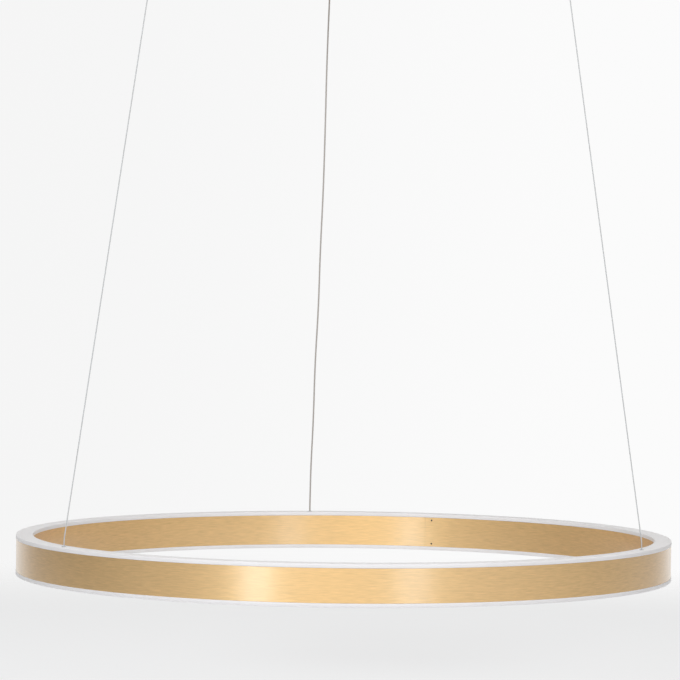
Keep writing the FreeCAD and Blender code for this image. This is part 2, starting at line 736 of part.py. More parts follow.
def gripper(side):
    """A ball gripper: a tapered body, a plunger that carries the balls, its spring and the
    stopper above it. Pushing the plunger up frees the strand. Heights are above the collar."""
    strand_radius = STRANDS[side]
    plunger = f"({strand_radius} + plunger_bore_play + plunger_wall)"
    bore = f"({plunger} + plunger_fit)"
    cavity = f"({plunger} + cavity_margin)"
    cavity_low = f"({TAPER_LOW} + ({cavity} - {bore}) / taper_slope)"
    ball_centre = f"({strand_radius} + ball_gap + ball_radius)"
    reach = f"({ball_centre} + (ball_radius + ball_gap) * sqrt(1 + taper_slope ^ 2) - {bore})"
    ball_level = f"({TAPER_LOW} + {reach} / taper_slope)"
    flange_low = f"({cavity_low} + flange_lift)"
    flange_high = f"({flange_low} + plunger_flange)"
    seat = gripper_seat(side, "0")

    body = turned(f"gripper_body_{side}", [
        (bore, GRIPPER_TIP),
        ("collar_tip_radius", GRIPPER_TIP),
        ("collar_radius", "-collar_length"),
        ("collar_radius", "0"),
        ("neck_radius", "0"),
        ("neck_radius", "neck_length"),
        (cavity, "neck_length"),
        (cavity, cavity_low),
        (bore, TAPER_LOW),
    ])
    place(body, *seat)

    nose = turned(f"release_plunger_{side}", [
        (f"{strand_radius} + plunger_bore_play", NOSE_TIP),
        (plunger, NOSE_TIP),
        (plunger, flange_low),
        (f"{cavity} - flange_play", flange_low),
        (f"{cavity} - flange_play", flange_high),
        (f"{strand_radius} + plunger_bore_play", flange_high),
    ])
    hole = [("0", ball_level, "ball_radius + plunger_hole_play")]
    pocket = cut_holes(nose, "YZ_Plane", hole, reach=f"{plunger} + cut_margin", backwards=True)
    pattern = nose.newObject("PartDesign::PolarPattern", f"{nose.Name}_holes")
    pattern.Originals = [pocket]
    pattern.Axis = (origin_part(nose, "Z_Axis"), [""])
    pattern.Angle = 360
    tie(pattern, Occurrences="ball_count")
    nose.Tip = pattern
    place(nose, *seat)

    stopper = turned(f"gripper_stopper_{side}", [
        (f"{strand_radius} + plunger_bore_play", "neck_length - stopper_length"),
        (f"{cavity} - stopper_fit", "neck_length - stopper_length"),
        (f"{cavity} - stopper_fit", "neck_length"),
        (f"{strand_radius} + plunger_bore_play", "neck_length"),
    ])
    place(stopper, *seat)

    balls = []
    for i in range(round(value("ball_count"))):
        ball = doc.addObject("Part::Sphere", f"ball_{side}_{i + 1}")
        tie(ball, Radius="ball_radius")
        x, y = around(ball_centre, f"360 * {i} / ball_count")
        place(ball, f"{seat[0]} + {x}", f"{seat[1]} + {y}", f"{ball_level} - {DEPTHS[side]}")
        balls.append(ball)
    group(f"gripper_balls_{side}", balls)

    gripper_spring(side, cavity, flange_high)


def gripper_spring(side, cavity, flange_high):
    """The coil spring between the plunger's flange and the stopper, swept one turn at a time."""
    wire = value("spring_wire")
    coil = value(f"{cavity} - flange_play") - wire
    low = value(flange_high) + wire
    high = value("neck_length - stopper_length") - wire
    helix = Part.makeLongHelix((high - low) / value("spring_turns"), high - low, coil)
    circle = Part.Wire(Part.Circle(Vector(coil, 0, 0), Vector(0, 1, 0), wire).toShape())
    solid = Part.Wire(helix.Edges).makePipeShell([circle], True, True)
    spring = free_shape(f"gripper_spring_{side}", solid)
    x, y, _ = gripper_seat(side, "0")
    place(spring, x, y, f"{flange_high} + spring_wire - {DEPTHS[side]}")


def lock_nuts():
    """The nut that clamps each gripper to its floor."""
    nuts = []
    for side in SIDES:
        start = gripper_seat(side, FLOORS[side])
        solid = hexagon(f"lock_nut_{side}_hexagon", "lock_nut_radius", "lock_nut_height", *start)
        hole = rod(f"lock_nut_{side}_hole", "neck_radius", "lock_nut_height", *start)
        nuts.append(less(f"lock_nut_{side}", solid, hole))
    group("gripper_lock_nuts", nuts)


def ceiling_cup(side):
    """A turned cup over a threaded base. The base is screwed to the ceiling first."""
    x, y = around("fixing_circle_radius", FIXINGS[side])
    base = turned(f"ceiling_base_{side}", [
        ("fixing_hole_radius", "0"),
        ("base_radius", "0"),
        ("base_radius", "-base_thickness"),
        ("fixing_hole_radius + countersink_depth", "-base_thickness"),
        ("fixing_hole_radius", "countersink_depth - base_thickness"),
    ])
    place(base, x, y)
    inside = "base_radius + base_fit"
    cup = turned(f"ceiling_cup_{side}", [
        (inside, "-rim_gap"),
        ("cup_radius", "-rim_gap"),
        ("cup_radius", "cup_chamfer - cup_depth"),
        ("cup_radius - cup_chamfer", "-cup_depth"),
        ("neck_radius + neck_fit", "-cup_depth"),
        ("neck_radius + neck_fit", "cup_floor - cup_depth"),
        (inside, "cup_floor - cup_depth"),
    ])
    place(cup, x, y)


# Inside the canopy, X and Y are measured from the canopy's own axis.
CANOPY_X, CANOPY_Y = around("fixing_circle_radius", FIXINGS["back"])
FLOOR = "(canopy_floor - canopy_depth)"
LEG = "(sqrt((canopy_radius - canopy_wall) ^ 2 - (bar_width / 2) ^ 2) - bar_play)"
ENTRY = f"({FLOOR} + lead_entry_height)"
POLES = (-1, 0, 1)


def under_canopy(x, y):
    return f"{CANOPY_X} + {x}", f"{CANOPY_Y} + {y}"


def edges_at(shape, radius, height):
    """Names of the circular edges of that radius at that height."""
    found = []
    for i, edge in enumerate(shape.Edges):
        ring = edge.Curve
        if not isinstance(ring, Part.Circle):
            continue
        if abs(ring.Radius - radius) < 0.01 and abs(ring.Center.z - height) < 0.01:
            found.append(f"Edge{i + 1}")
    return found


def canopy_cover():
    """The spun cup over the driver, with a hole for the gripper and one for each thumb screw."""
    inside = "canopy_radius - canopy_wall"
    body = turned("canopy_cover", [
        (inside, "-rim_gap"),
        ("canopy_radius", "-rim_gap"),
        ("canopy_radius", "-canopy_depth"),
        ("neck_radius + neck_fit", "-canopy_depth"),
        ("neck_radius + neck_fit", FLOOR),
        (inside, FLOOR),
    ])
    for radius, height, rounding in (
        ("canopy_radius", "-canopy_depth", "canopy_rounding"),
        (inside, FLOOR, "canopy_rounding - canopy_wall"),
    ):
        sharp = body.Tip
        edges = edges_at(sharp.Shape, value(radius), value(height))
        fillet = body.newObject("PartDesign::Fillet", "canopy_rounding_edge")
        fillet.Base = (sharp, edges)
        tie(fillet, Radius=rounding)
        doc.recompute()
        if len(body.Shape.Faces) <= len(sharp.Shape.Faces):
            raise RuntimeError("canopy_cover: an edge isn't rounded")
    hole = [("0", "-side_screw_drop", "side_screw_radius + screw_hole_play")]
    cut_holes(body, "YZ_Plane", hole)
    place(body, CANOPY_X, CANOPY_Y)


def canopy_bracket():
    """A steel strip screwed to the ceiling, its ends turned down behind the canopy's wall."""
    body = new_body("canopy_bracket")
    sketch = new_sketch(body, "XZ_Plane")
    sheet_metal = "bar_thickness"
    draw_outline(sketch, [
        (LEG, "0"),
        (f"-{LEG}", "0"),
        (f"-{LEG}", "-bar_leg"),
        (f"{sheet_metal} - {LEG}", "-bar_leg"),
        (f"{sheet_metal} - {LEG}", f"-{sheet_metal}"),
        (f"{LEG} - {sheet_metal}", f"-{sheet_metal}"),
        (f"{LEG} - {sheet_metal}", "-bar_leg"),
        (LEG, "-bar_leg"),
    ])
    pad = body.newObject("PartDesign::Pad", "canopy_bracket_strip")
    pad.Profile = sketch
    pad.Midplane = True
    tie(pad, Length="bar_width")
    doc.recompute()
    cut_holes(body, "XY_Plane", [
        ("0", "0", "fixing_hole_radius"),
        ("-earth_place", "0", "earth_screw_radius"),
    ])
    cut_holes(body, "YZ_Plane", [("0", "-side_screw_drop", "side_screw_radius")])
    place(body, CANOPY_X, CANOPY_Y)


def thumb_screws():
    """A headed screw at each end of the bracket, through the canopy's wall into the leg."""
    screws = []
    for hand, name in ((1, "right"), (-1, "left")):
        inner = f"({LEG} - side_screw_reach)"
        shank_length = f"(canopy_radius - {inner})"
        shank = rod(f"thumb_screw_{name}_shank", "side_screw_radius", shank_length)
        head = rod(f"thumb_screw_{name}_head", "side_screw_head_radius", "side_screw_head_length",
                   z=shank_length)
        screw = joined(f"thumb_screw_{name}", [shank, head])
        x, y = under_canopy(f"{hand} * {inner}", "0")
        screw.Placement = Placement(Vector(), Rotation(Vector(0, 1, 0), 90 * hand))
        tie(screw, Placement__Base__x=x, Placement__Base__y=y, Placement__Base__z="-side_screw_drop")
        screws.append(screw)
    group("canopy_thumb_screws", screws)


def driver():
    """The driver lies on the canopy's floor: housing, lid, circuit board, transformer and
    capacitors. Cores and cord enter through its near wall."""
    x, y = under_canopy("-driver_length / 2", "driver_offset")
    outside = block("driver_outside", x, y, FLOOR, "driver_length", "driver_width", "driver_height")
    hollow = block(
        "driver_hollow",
        f"{x} + driver_wall",
        f"{y} + driver_wall",
        f"{FLOOR} + driver_wall",
        "driver_length - 2 * driver_wall",
        "driver_width - 2 * driver_wall",
        "driver_height",
    )
    shell = less("driver_shell", outside, hollow)
    posts = []
    board_x = f"{x} + driver_wall + driver_board_play"
    board_y = f"{y} + driver_wall + driver_board_play"
    board_length = "(driver_length - 2 * driver_wall - 2 * driver_board_play)"
    board_width = "(driver_width - 2 * driver_wall - 2 * driver_board_play)"
    for i, (across, up) in enumerate(((0, 0), (1, 0), (0, 1), (1, 1))):
        inset = "stand_radius"
        post_x = f"{board_x} + {inset} + {across} * ({board_length} - 2 * {inset})"
        post_y = f"{board_y} + {inset} + {up} * ({board_width} - 2 * {inset})"
        posts.append(rod(f"driver_post_{i + 1}", inset, "driver_board_lift", post_x, post_y,
                         f"{FLOOR} + driver_wall"))
    solid = joined("driver_shell_with_posts", [shell, *posts])
    entries = [mains_entry(pole) for pole in POLES]
    entries.append(entry_hole("cord", "0", "cord_radius + mains_lead_play"))
    case = doc.addObject("Part::Cut", "driver_case")
    case.Base = solid
    case.Tool = joined("driver_entries", entries)

    block("driver_lid", x, y, f"{FLOOR} + driver_height", "driver_length", "driver_width",
          "driver_lid_thickness")
    board_low = f"{FLOOR} + driver_wall + driver_board_lift"
    block("driver_board", board_x, board_y, board_low, board_length, board_width,
          "driver_board_thickness")
    board_top = f"({board_low} + driver_board_thickness)"
    middle = "driver_offset + driver_width / 2"
    coil_x, coil_y = under_canopy("coil_place - coil_length / 2", f"{middle} - coil_width / 2")
    core = block("driver_coil_core", coil_x, coil_y, board_top, "coil_length", "coil_width", "coil_height")
    bobbin_x, bobbin_y = under_canopy("coil_place - coil_bobbin_length / 2",
                                      f"{middle} - coil_width / 2 - coil_bobbin")
    bobbin = block("driver_coil_bobbin", bobbin_x, bobbin_y, f"{board_top} + coil_bobbin",
                   "coil_bobbin_length", "coil_width + 2 * coil_bobbin", "coil_height - 2 * coil_bobbin")
    joined("driver_transformer", [core, bobbin])
    cans = []
    for i in range(round(value("capacitor_count"))):
        can_x, can_y = under_canopy(f"capacitor_place + {i} * capacitor_pitch", middle)
        cans.append(rod(f"driver_capacitor_{i + 1}", "capacitor_radius", "capacitor_height", can_x, can_y,
                        board_top))
    group("driver_capacitors", cans)


def pole_place(pole):
    return f"(terminal_place + {pole} * terminal_pitch)"


def entry_hole(name, x, radius):
    """A hole through the driver housing's near wall."""
    hole = doc.addObject("Part::Cylinder", f"driver_entry_{name}")
    tie(hole, Radius=radius, Height="driver_wall + 2 * cut_margin")
    hole.Placement = Placement(Vector(), Rotation(Vector(1, 0, 0), -90))
    place_x, place_y = under_canopy(x, "driver_offset - cut_margin")
    tie(hole, Placement__Base__x=place_x, Placement__Base__y=place_y, Placement__Base__z=ENTRY)
    return hole


def mains_entry(pole):
    return entry_hole(f"pole_{pole + 2}", pole_place(pole), "mains_lead_radius + mains_lead_play")


def terminal_block():
    """A three-pole block under the bracket, with a screw well and a core's hole in each pole."""
    x, y = under_canopy("terminal_place - terminal_length / 2", "-terminal_width / 2")
    top = "-bar_thickness"
    solid = block("terminal_solid", x, y, f"{top} - terminal_height", "terminal_length",
                  "terminal_width", "terminal_height")
    holes, screws = [], []
    for pole in POLES:
        well_x, well_y = under_canopy(pole_place(pole), "-terminal_well_place")
        low = f"{top} - terminal_height"
        holes.append(rod(f"terminal_well_{pole + 2}", "terminal_well_radius", "terminal_well",
                         well_x, well_y, low))
        screws.append(rod(f"terminal_screw_{pole + 2}", "terminal_screw_radius", "terminal_screw_length",
                          well_x, well_y, f"{low} + terminal_well - terminal_screw_length"))
        entry = doc.addObject("Part::Cylinder", f"terminal_entry_{pole + 2}")
        tie(entry, Radius="wire_entry_radius", Height="wire_entry_depth + cut_margin")
        entry.Placement = Placement(Vector(), Rotation(Vector(1, 0, 0), -90))
        entry_x, entry_y = under_canopy(pole_place(pole), "terminal_width / 2 - wire_entry_depth")
        tie(entry, Placement__Base__x=entry_x, Placement__Base__y=entry_y)
        tie(entry, Placement__Base__z=f"{top} - wire_entry_drop")
        holes.append(entry)
    less("terminal_block", solid, joined("terminal_holes", holes))
    group("terminal_screws", screws)


def mains_leads():
    """Three cores from the terminal block down to the driver housing's near wall."""
    radius = value("mains_lead_radius")
    start_y = value("terminal_width / 2 - wire_entry_depth")
    wall_y = value("driver_offset + lead_inside")
    block_y, case_y = value("terminal_width / 2"), value("driver_offset")
    high, low = value("-bar_thickness - wire_entry_drop"), value(ENTRY)
    centre_x, centre_y = value(CANOPY_X), value(CANOPY_Y)
    middle = (block_y + case_y) / 2
    bend = (case_y - block_y) / 2 - value("mains_lead_margin")
    cores = []
    for pole in POLES:
        x = centre_x + value(pole_place(pole))
        route = [(start_y, high), (middle, high), (middle, low), (wall_y, low)]
        points = [Vector(x, centre_y + y, z) for y, z in route]
        cores.append(tube("mains core", points, radius, {1: bend, 2: bend}))
    free_shape("mains_leads", Part.makeCompound(cores))


def cord_tail():
    """The power cord above its gripper bends over into the driver housing."""
    centre_x, centre_y = value(CANOPY_X), value(CANOPY_Y)
    low, level = value("neck_length - canopy_depth"), value(ENTRY)
    inside = value("driver_offset + lead_inside")
    points = [
        Vector(centre_x, centre_y, low),
        Vector(centre_x, centre_y, level),
        Vector(centre_x, centre_y + inside, level),
    ]
    free_shape("power_cord_tail", tube("power_cord_tail", points, value("cord_radius")))


def earth_screw():
    """The earth stud in the bracket, with the nut that clamps the earth core."""
    x, y = under_canopy("-earth_place", "0")
    low = "-(bar_thickness + earth_screw_length)"
    shank = rod("earth_shank", "earth_screw_radius", "bar_thickness + earth_screw_length", x, y, low)
    nut = hexagon("earth_nut", "earth_nut_radius", "earth_nut_height", x, y,
                  "-(bar_thickness + earth_nut_height)")
    joined("earth_screw", [shank, nut])


ring_band()
splice_bar("upper_splice_bar", 1)
splice_bar("lower_splice_bar", -1)
splice_screws()
diffusers()
for part_name, part_start, part_finish in BOARD_SPANS:
    light_board(f"upper_light_board_{part_name}", 1, part_start, part_finish)
    light_board(f"lower_light_board_{part_name}", -1, part_start, part_finish)
light_chips("upper_light_chips", 1)
light_chips("lower_light_chips", -1)
for part_side in SIDES:
    wire_anchor(part_side)
anchor_nuts()
group("wire_ferrules", [ferrule("left", "ferrule_left"), ferrule("right", "ferrule_right")])
ferrule("back", "cord_ferrule")
wire_grommets()
strand("hanging_wire_left", "left", "neck_length + wire_tail")
strand("hanging_wire_right", "right", "neck_length + wire_tail")
strand("power_cord", "back", "neck_length")
feed_leads()
for part_side in SIDES:
    gripper(part_side)
lock_nuts()
ceiling_cup("left")
ceiling_cup("right")
canopy_cover()
canopy_bracket()
thumb_screws()
driver()
terminal_block()
mains_leads()
cord_tail()
earth_screw()
doc.recompute()


def write_parts():
    """Checks every object, then writes each sub-part that no other object uses."""
    for thing in doc.Objects:
        if {"Invalid", "Error"} & set(thing.State):
            raise RuntimeError(f"{thing.Label} failed: {thing.State}")
    os.makedirs("parts", exist_ok=True)
    total = 0
    for thing in doc.Objects:
        inner = thing.isDerivedFrom("PartDesign::Feature") or not hasattr(thing, "Shape")
        if inner or thing.isDerivedFrom("Sketcher::SketchObject") or thing.isDerivedFrom("App::OriginFeature"):
            continue
        if any(not user.isDerivedFrom("PartDesign::Feature") for user in thing.InList):
            continue
        shape = thing.Shape
        if shape.isNull() or not shape.isValid() or not shape.Solids:
            raise RuntimeError(f"{thing.Label} has no sound solid")
        shape.exportStep(f"parts/{thing.Label}.step")
        total += 1
        print(f"{thing.Label}: {len(shape.Solids)} solid(s), {shape.Volume:.1f} mm3")
    print(f"{total} nodes")


write_parts()
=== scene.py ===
"""A slim brushed gold light ring between two opal diffusers, hung level on two thin steel
wires and one power cord from three ceiling fittings. Metres, in the part's own frame: the
ceiling is at z = 0, the ring's axis is the Z axis and the cord hangs at the back, +Y."""

import math

import bmesh
import bpy
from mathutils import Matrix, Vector


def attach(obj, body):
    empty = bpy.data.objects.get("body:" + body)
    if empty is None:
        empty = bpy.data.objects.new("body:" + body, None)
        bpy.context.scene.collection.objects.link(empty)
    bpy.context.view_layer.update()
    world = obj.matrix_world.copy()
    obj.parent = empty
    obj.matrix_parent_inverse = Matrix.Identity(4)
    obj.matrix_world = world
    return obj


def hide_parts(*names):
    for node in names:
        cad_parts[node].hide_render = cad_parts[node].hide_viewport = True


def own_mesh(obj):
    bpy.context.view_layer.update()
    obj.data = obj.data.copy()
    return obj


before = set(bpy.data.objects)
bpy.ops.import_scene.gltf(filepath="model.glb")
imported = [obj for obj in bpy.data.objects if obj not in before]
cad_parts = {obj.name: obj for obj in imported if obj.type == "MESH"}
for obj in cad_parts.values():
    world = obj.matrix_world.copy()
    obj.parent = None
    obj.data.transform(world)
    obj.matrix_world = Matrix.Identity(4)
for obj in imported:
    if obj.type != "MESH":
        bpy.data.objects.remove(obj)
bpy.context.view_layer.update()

# ---------------------------------------------------------------- the photograph's view
# A long lens almost level with the ring, four metres in front of it. It looks down by
# about one degree, and the camera leans by less than a degree, so the ring's right side
# stands a little lower.
bpy.ops.object.select_all(action="DESELECT")
bpy.ops.object.camera_add(
    location=(0.00725, -3.9329, -0.4437),
    rotation=(math.radians(88.863), math.radians(-0.628), math.radians(0.223)),
)
camera = bpy.context.object
camera.name = "photograph_view"
camera.data.sensor_width = 36.0
camera.data.lens = 169.9
camera.data.clip_end = 60.0
bpy.context.scene.camera = camera

# ---------------------------------------------------------------- hanging wires
# Two steel wire ropes of 1.3 mm in a clear sheath. Each comes straight down out of its
# ceiling gripper, leans out to the ring, and bends upright again 7 mm above the diffuser,
# where it goes down through a bush into its anchor.
WIRE_ROUTES = {
    "left": [
        (-0.22579, -0.16046, -0.01100),
        (-0.22579, -0.16046, -0.04300),
        (-0.22668, -0.16097, -0.04942),
        (-0.32320, -0.21645, -0.74738),
        (-0.32408, -0.21696, -0.75380),
        (-0.32408, -0.21696, -0.79500),
    ],
    "right": [
        (0.25186, -0.11531, -0.01100),
        (0.25186, -0.11531, -0.04300),
        (0.25275, -0.11582, -0.04942),
        (0.34934, -0.17107, -0.74738),
        (0.35023, -0.17158, -0.75380),
        (0.35023, -0.17158, -0.79500),
    ],
}
WIRE_WIDTH, WIRE_LENGTH, WIRE_EXIT = 0.0013, 0.79, -0.0405


def strand_route(name, points):
    """The line that a wire or cord follows, as a smooth curve with no thickness yet."""
    curve = bpy.data.curves.new(name, "CURVE")
    curve.dimensions = "3D"
    spline = curve.splines.new("NURBS")
    spline.points.add(len(points) - 1)
    for control, point in zip(spline.points, points):
        control.co = (*point, 1.0)
    spline.order_u = 3
    spline.use_endpoint_u = True
    spline.resolution_u = 24
    route = bpy.data.objects.new(name, curve)
    bpy.context.scene.collection.objects.link(route)
    return route


def drawn_strand(name, points, diameter):
    """A strand as a mesh tube, and the points of the line that it follows."""
    route = strand_route(name, points)
    line = bpy.data.meshes.new_from_object(route)
    path = [vertex.co[:] for vertex in line.vertices]
    bpy.data.meshes.remove(line)
    route.data.bevel_depth = diameter / 2
    route.data.bevel_resolution = 4
    route.data.use_fill_caps = True
    bpy.ops.object.select_all(action="DESELECT")
    bpy.context.view_layer.objects.active = route
    route.select_set(True)
    bpy.ops.object.convert(target="MESH")
    bpy.ops.object.shade_smooth_by_angle(angle=math.radians(50))
    return bpy.context.object, path


def bare_material(name):
    """A new material's nodes, its links and its shader."""
    material = bpy.data.materials.new(name)
    material.use_nodes = True
    nodes, links = material.node_tree.nodes, material.node_tree.links
    return material, nodes, links, nodes["Principled BSDF"]


def group_sockets(name, inputs, outputs):
    """A node group with named number, colour or vector sockets and their usual values."""
    tree = bpy.data.node_groups.new(name, "ShaderNodeTree")
    for label, kind, usual in inputs:
        socket = tree.interface.new_socket(label, in_out="INPUT", socket_type=f"NodeSocket{kind}")
        if usual is not None:
            socket.default_value = usual
    for label, kind in outputs:
        tree.interface.new_socket(label, in_out="OUTPUT", socket_type=f"NodeSocket{kind}")
    return tree, tree.nodes.new("NodeGroupInput"), tree.nodes.new("NodeGroupOutput")


def blended(nodes, links, factor, first, second):
    """A colour between two others, by a factor socket. Each colour is a socket or a value."""
    mix = nodes.new("ShaderNodeMix")
    mix.data_type = "RGBA"
    links.new(factor, mix.inputs["Factor"])
    for end, colour in (("A", first), ("B", second)):
        socket = next(s for s in mix.inputs if s.name == end and s.type == "RGBA")
        if isinstance(colour, bpy.types.NodeSocket):
            links.new(colour, socket)
        else:
            socket.default_value = (*colour, 1.0)
    return next(s for s in mix.outputs if s.type == "RGBA")


def reckon(nodes, links, operation, first, second):
    """One step of arithmetic. Each term is a socket or a number."""
    step = nodes.new("ShaderNodeMath")
    step.operation = operation
    for socket, term in zip(step.inputs, (first, second)):
        if isinstance(term, bpy.types.NodeSocket):
            links.new(term, socket)
        else:
            socket.default_value = term
    return step.outputs[0]


def fitted_range(nodes, links, source, low, high, start=0.0, end=1.0):
    """Goes smoothly from low to high, with no overshoot, while the source goes from start
    to end."""
    step = nodes.new("ShaderNodeMapRange")
    step.interpolation_type = "SMOOTHSTEP"
    for label, number in (("From Min", start), ("From Max", end), ("To Min", low),
                          ("To Max", high)):
        step.inputs[label].default_value = number
    links.new(source, step.inputs["Value"])
    return step.outputs["Result"]


def noise_over(nodes, links, place, scale, detail=2.0):
    """Soft unevenness over a piece, 0..1. The scale is a number or a socket."""
    noise = nodes.new("ShaderNodeTexNoise")
    noise.inputs["Detail"].default_value = detail
    if isinstance(scale, bpy.types.NodeSocket):
        links.new(scale, noise.inputs["Scale"])
    else:
        noise.inputs["Scale"].default_value = scale
    links.new(place, noise.inputs["Vector"])
    return noise.outputs["Fac"]


def relief(nodes, links, shader, height, strength, depth):
    """Fine relief in a shader's surface, depth in metres."""
    bump = nodes.new("ShaderNodeBump")
    bump.inputs["Strength"].default_value = strength
    bump.inputs["Distance"].default_value = depth
    links.new(height, bump.inputs["Height"])
    links.new(bump.outputs["Normal"], shader.inputs["Normal"])


# The lay of a twisted strand: slanting ridges along the strand's own map, u along it and
# v round it. Wire rope and cord share it, each with its own turns and strands.
lay, lay_in, lay_out = group_sockets(
    "strand_lay",
    [("Map", "Vector", None), ("Turns", "Float", 200.0), ("Strands", "Float", 6.0)],
    [("Ridge", "Float"), ("Fleck", "Float")],
)
nodes, links = lay.nodes, lay.links
axes = nodes.new("ShaderNodeSeparateXYZ")
links.new(lay_in.outputs["Map"], axes.inputs[0])
round_it = reckon(nodes, links, "MULTIPLY", axes.outputs["Y"], lay_in.outputs["Strands"])
along_it = reckon(nodes, links, "MULTIPLY", axes.outputs["X"], lay_in.outputs["Turns"])
slant = reckon(nodes, links, "ADD", round_it, along_it)
angle = reckon(nodes, links, "MULTIPLY", slant, math.tau)
wave = reckon(nodes, links, "SINE", angle, 0.0)
half = reckon(nodes, links, "MULTIPLY", wave, 0.5)
links.new(reckon(nodes, links, "ADD", half, 0.5), lay_out.inputs["Ridge"])
links.new(noise_over(nodes, links, lay_in.outputs["Map"], 350.0), lay_out.inputs["Fleck"])


def strand_finish(name, dark, light, turns, strands, metallic, roughness, sheath):
    """Twisted strands seen through a clear sheath. Their colour is painted darker in the grooves
    between the strands as shade, and flecked at random.
    """
    material, nodes, links, shader = bare_material(name)
    uv = nodes.new("ShaderNodeUVMap")
    uv.uv_map = "UVMap"
    twist = nodes.new("ShaderNodeGroup")
    twist.node_tree = lay
    twist.inputs["Turns"].default_value = turns
    twist.inputs["Strands"].default_value = strands
    links.new(uv.outputs["UV"], twist.inputs["Map"])
    # Painted shade: the colour is darkest where the ridge is low, in the grooves between the
    # strands. The fleck is random tone.
    tone = reckon(nodes, links, "MULTIPLY", twist.outputs["Ridge"], twist.outputs["Fleck"])
    links.new(blended(nodes, links, fitted_range(nodes, links, tone, 0.0, 1.0), dark, light),
              shader.inputs["Base Color"])
    relief(nodes, links, shader, twist.outputs["Ridge"], 0.25, 0.0001)
    shader.inputs["Metallic"].default_value = metallic
    shader.inputs["Roughness"].default_value = roughness
    shader.inputs["Coat Weight"].default_value = sheath
    shader.inputs["Coat Roughness"].default_value = 0.12
    return material


wire_finish = strand_finish("sheathed_steel_wire", (0.44, 0.44, 0.435), (0.62, 0.62, 0.61),
                            turns=700.0, strands=7.0, metallic=0.3, roughness=0.4, sheath=0.5)
for side, points in WIRE_ROUTES.items():
    wire, path = drawn_strand(f"hanging_wire_{side}_rope", points, WIRE_WIDTH)
    wire.data.materials.append(wire_finish)
    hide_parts(f"hanging_wire_{side}")
    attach(wire, "ring")
    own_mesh(wire)

# ---------------------------------------------------------------- power cord
# A 2 mm cord at the back: two cores and a steel strand in a cloudy taupe sheath. It carries
# the ring's third point and its current. It isn't quite straight, because it was coiled.
CORD_ROUTE = [
    (-0.02607, 0.27577, -0.03000),
    (-0.02607, 0.27577, -0.05900),
    (-0.02629, 0.27696, -0.06640),
    (-0.02949, 0.29197, -0.16000),
    (-0.03073, 0.30559, -0.24500),
    (-0.03272, 0.32002, -0.33500),
    (-0.03597, 0.33205, -0.41000),
    (-0.03751, 0.34408, -0.48500),
    (-0.04156, 0.35610, -0.56000),
    (-0.04300, 0.36813, -0.63500),
    (-0.04594, 0.37855, -0.70000),
    (-0.04662, 0.38591, -0.74590),
    (-0.04685, 0.38718, -0.75380),
    (-0.04685, 0.38718, -0.79500),
]
CORD_WIDTH, CORD_LENGTH, CORD_EXIT = 0.002, 0.77, -0.0585
cord, cord_path = drawn_strand("power_cord_sheath", CORD_ROUTE, CORD_WIDTH)
cord_finish = strand_finish("clouded_cord_sheath", (0.32, 0.29, 0.265), (0.47, 0.43, 0.395),
                            turns=150.0, strands=3.0, metallic=0.0, roughness=0.42, sheath=0.3)
cord.data.materials.append(cord_finish)
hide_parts("power_cord")
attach(cord, "ring")
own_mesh(cord)

# ---------------------------------------------------------------- ring band
# A rolled and welded H section of aluminium, 39 mm high and 20 mm deep. Both walls are
# brushed along the ring and anodised gold. Its ends meet in a hairline that a splice
# bridges, and two small grub screws hold the splice to the inner wall.
RING_LEVEL, BAND_HEIGHT, WEB_THICKNESS = -0.785, 0.039, 0.002
INNER_WALL, OUTER_WALL = 0.38, 0.4
INNER_CHANNEL, OUTER_CHANNEL = 0.3815, 0.3985
RING_MIDDLE = 0.39
SCREW_HOLE, ANCHOR_HOLE, LEAD_HOLE, DRILL_LENGTH = 0.00122, 0.00305, 0.0019, 0.006
SPLICE_TURN = math.radians(72.1)
SEAM_BESIDE_SPLICE, SEAM_WIDTH = 0.009 / RING_MIDDLE, 0.00015 / RING_MIDDLE
LEAD_BESIDE_ANCHOR = 0.0095 / RING_MIDDLE
SPLICE_SCREW_RISE = 0.0156
ANCHOR_TURNS = {side: math.radians(turn) for side, turn in
                (("back", 96.9), ("left", 213.8), ("right", 333.9))}
UPRIGHT = (0, 0, 1)


def mark_corner(mesh, place, reach=1e-5):
    """Selects only the vertices at a place."""
    bm = bmesh.from_edit_mesh(mesh)
    for vertex in bm.verts:
        vertex.select = (vertex.co - Vector(place)).length < reach
    bm.select_flush_mode()
    bmesh.update_edit_mesh(mesh)


def turned_piece(name, outline, centre=(0.0, 0.0), steps=96, start=0.0, sweep=math.tau):
    """A piece turned about an upright axis. The outline's corners are a radius, a height and,
    where the corner is rounded, by how much. The outline is drawn corner by corner, filled,
    rounded, and spun."""
    way = Vector((math.cos(start), math.sin(start), 0.0))
    corners = [way * corner[0] + Vector((0.0, 0.0, corner[1])) for corner in outline]
    bpy.ops.object.select_all(action="DESELECT")
    bpy.ops.mesh.primitive_plane_add(size=0.001)
    piece = bpy.context.object
    piece.name = piece.data.name = name
    bpy.ops.object.mode_set(mode="EDIT")
    bpy.ops.mesh.merge(type="CENTER")
    bpy.ops.transform.translate(value=corners[0])
    for here, there in zip(corners, corners[1:]):
        bpy.ops.mesh.extrude_region_move(TRANSFORM_OT_translate={"value": there - here})
    bpy.ops.mesh.select_all(action="SELECT")
    bpy.ops.mesh.edge_face_add()
    for corner, place in zip(outline, corners):
        if len(corner) > 2:
            mark_corner(piece.data, place)
            steps_round = 6 if corner[2] > 0.001 else 2
            bpy.ops.mesh.bevel(affect="VERTICES", offset=corner[2], segments=steps_round)
    bpy.ops.mesh.select_all(action="SELECT")
    if sweep == math.tau:
        bpy.ops.mesh.delete(type="ONLY_FACE")
        bpy.ops.mesh.select_all(action="SELECT")
    bpy.ops.mesh.spin(steps=steps, angle=sweep, center=(0, 0, 0), axis=(0, 0, 1))
    bpy.ops.mesh.select_all(action="SELECT")
    bpy.ops.mesh.remove_doubles(threshold=2e-6)
    bpy.ops.mesh.normals_make_consistent(inside=False)
    bpy.ops.transform.translate(value=(*centre, 0.0))
    bpy.ops.object.mode_set(mode="OBJECT")
    return piece


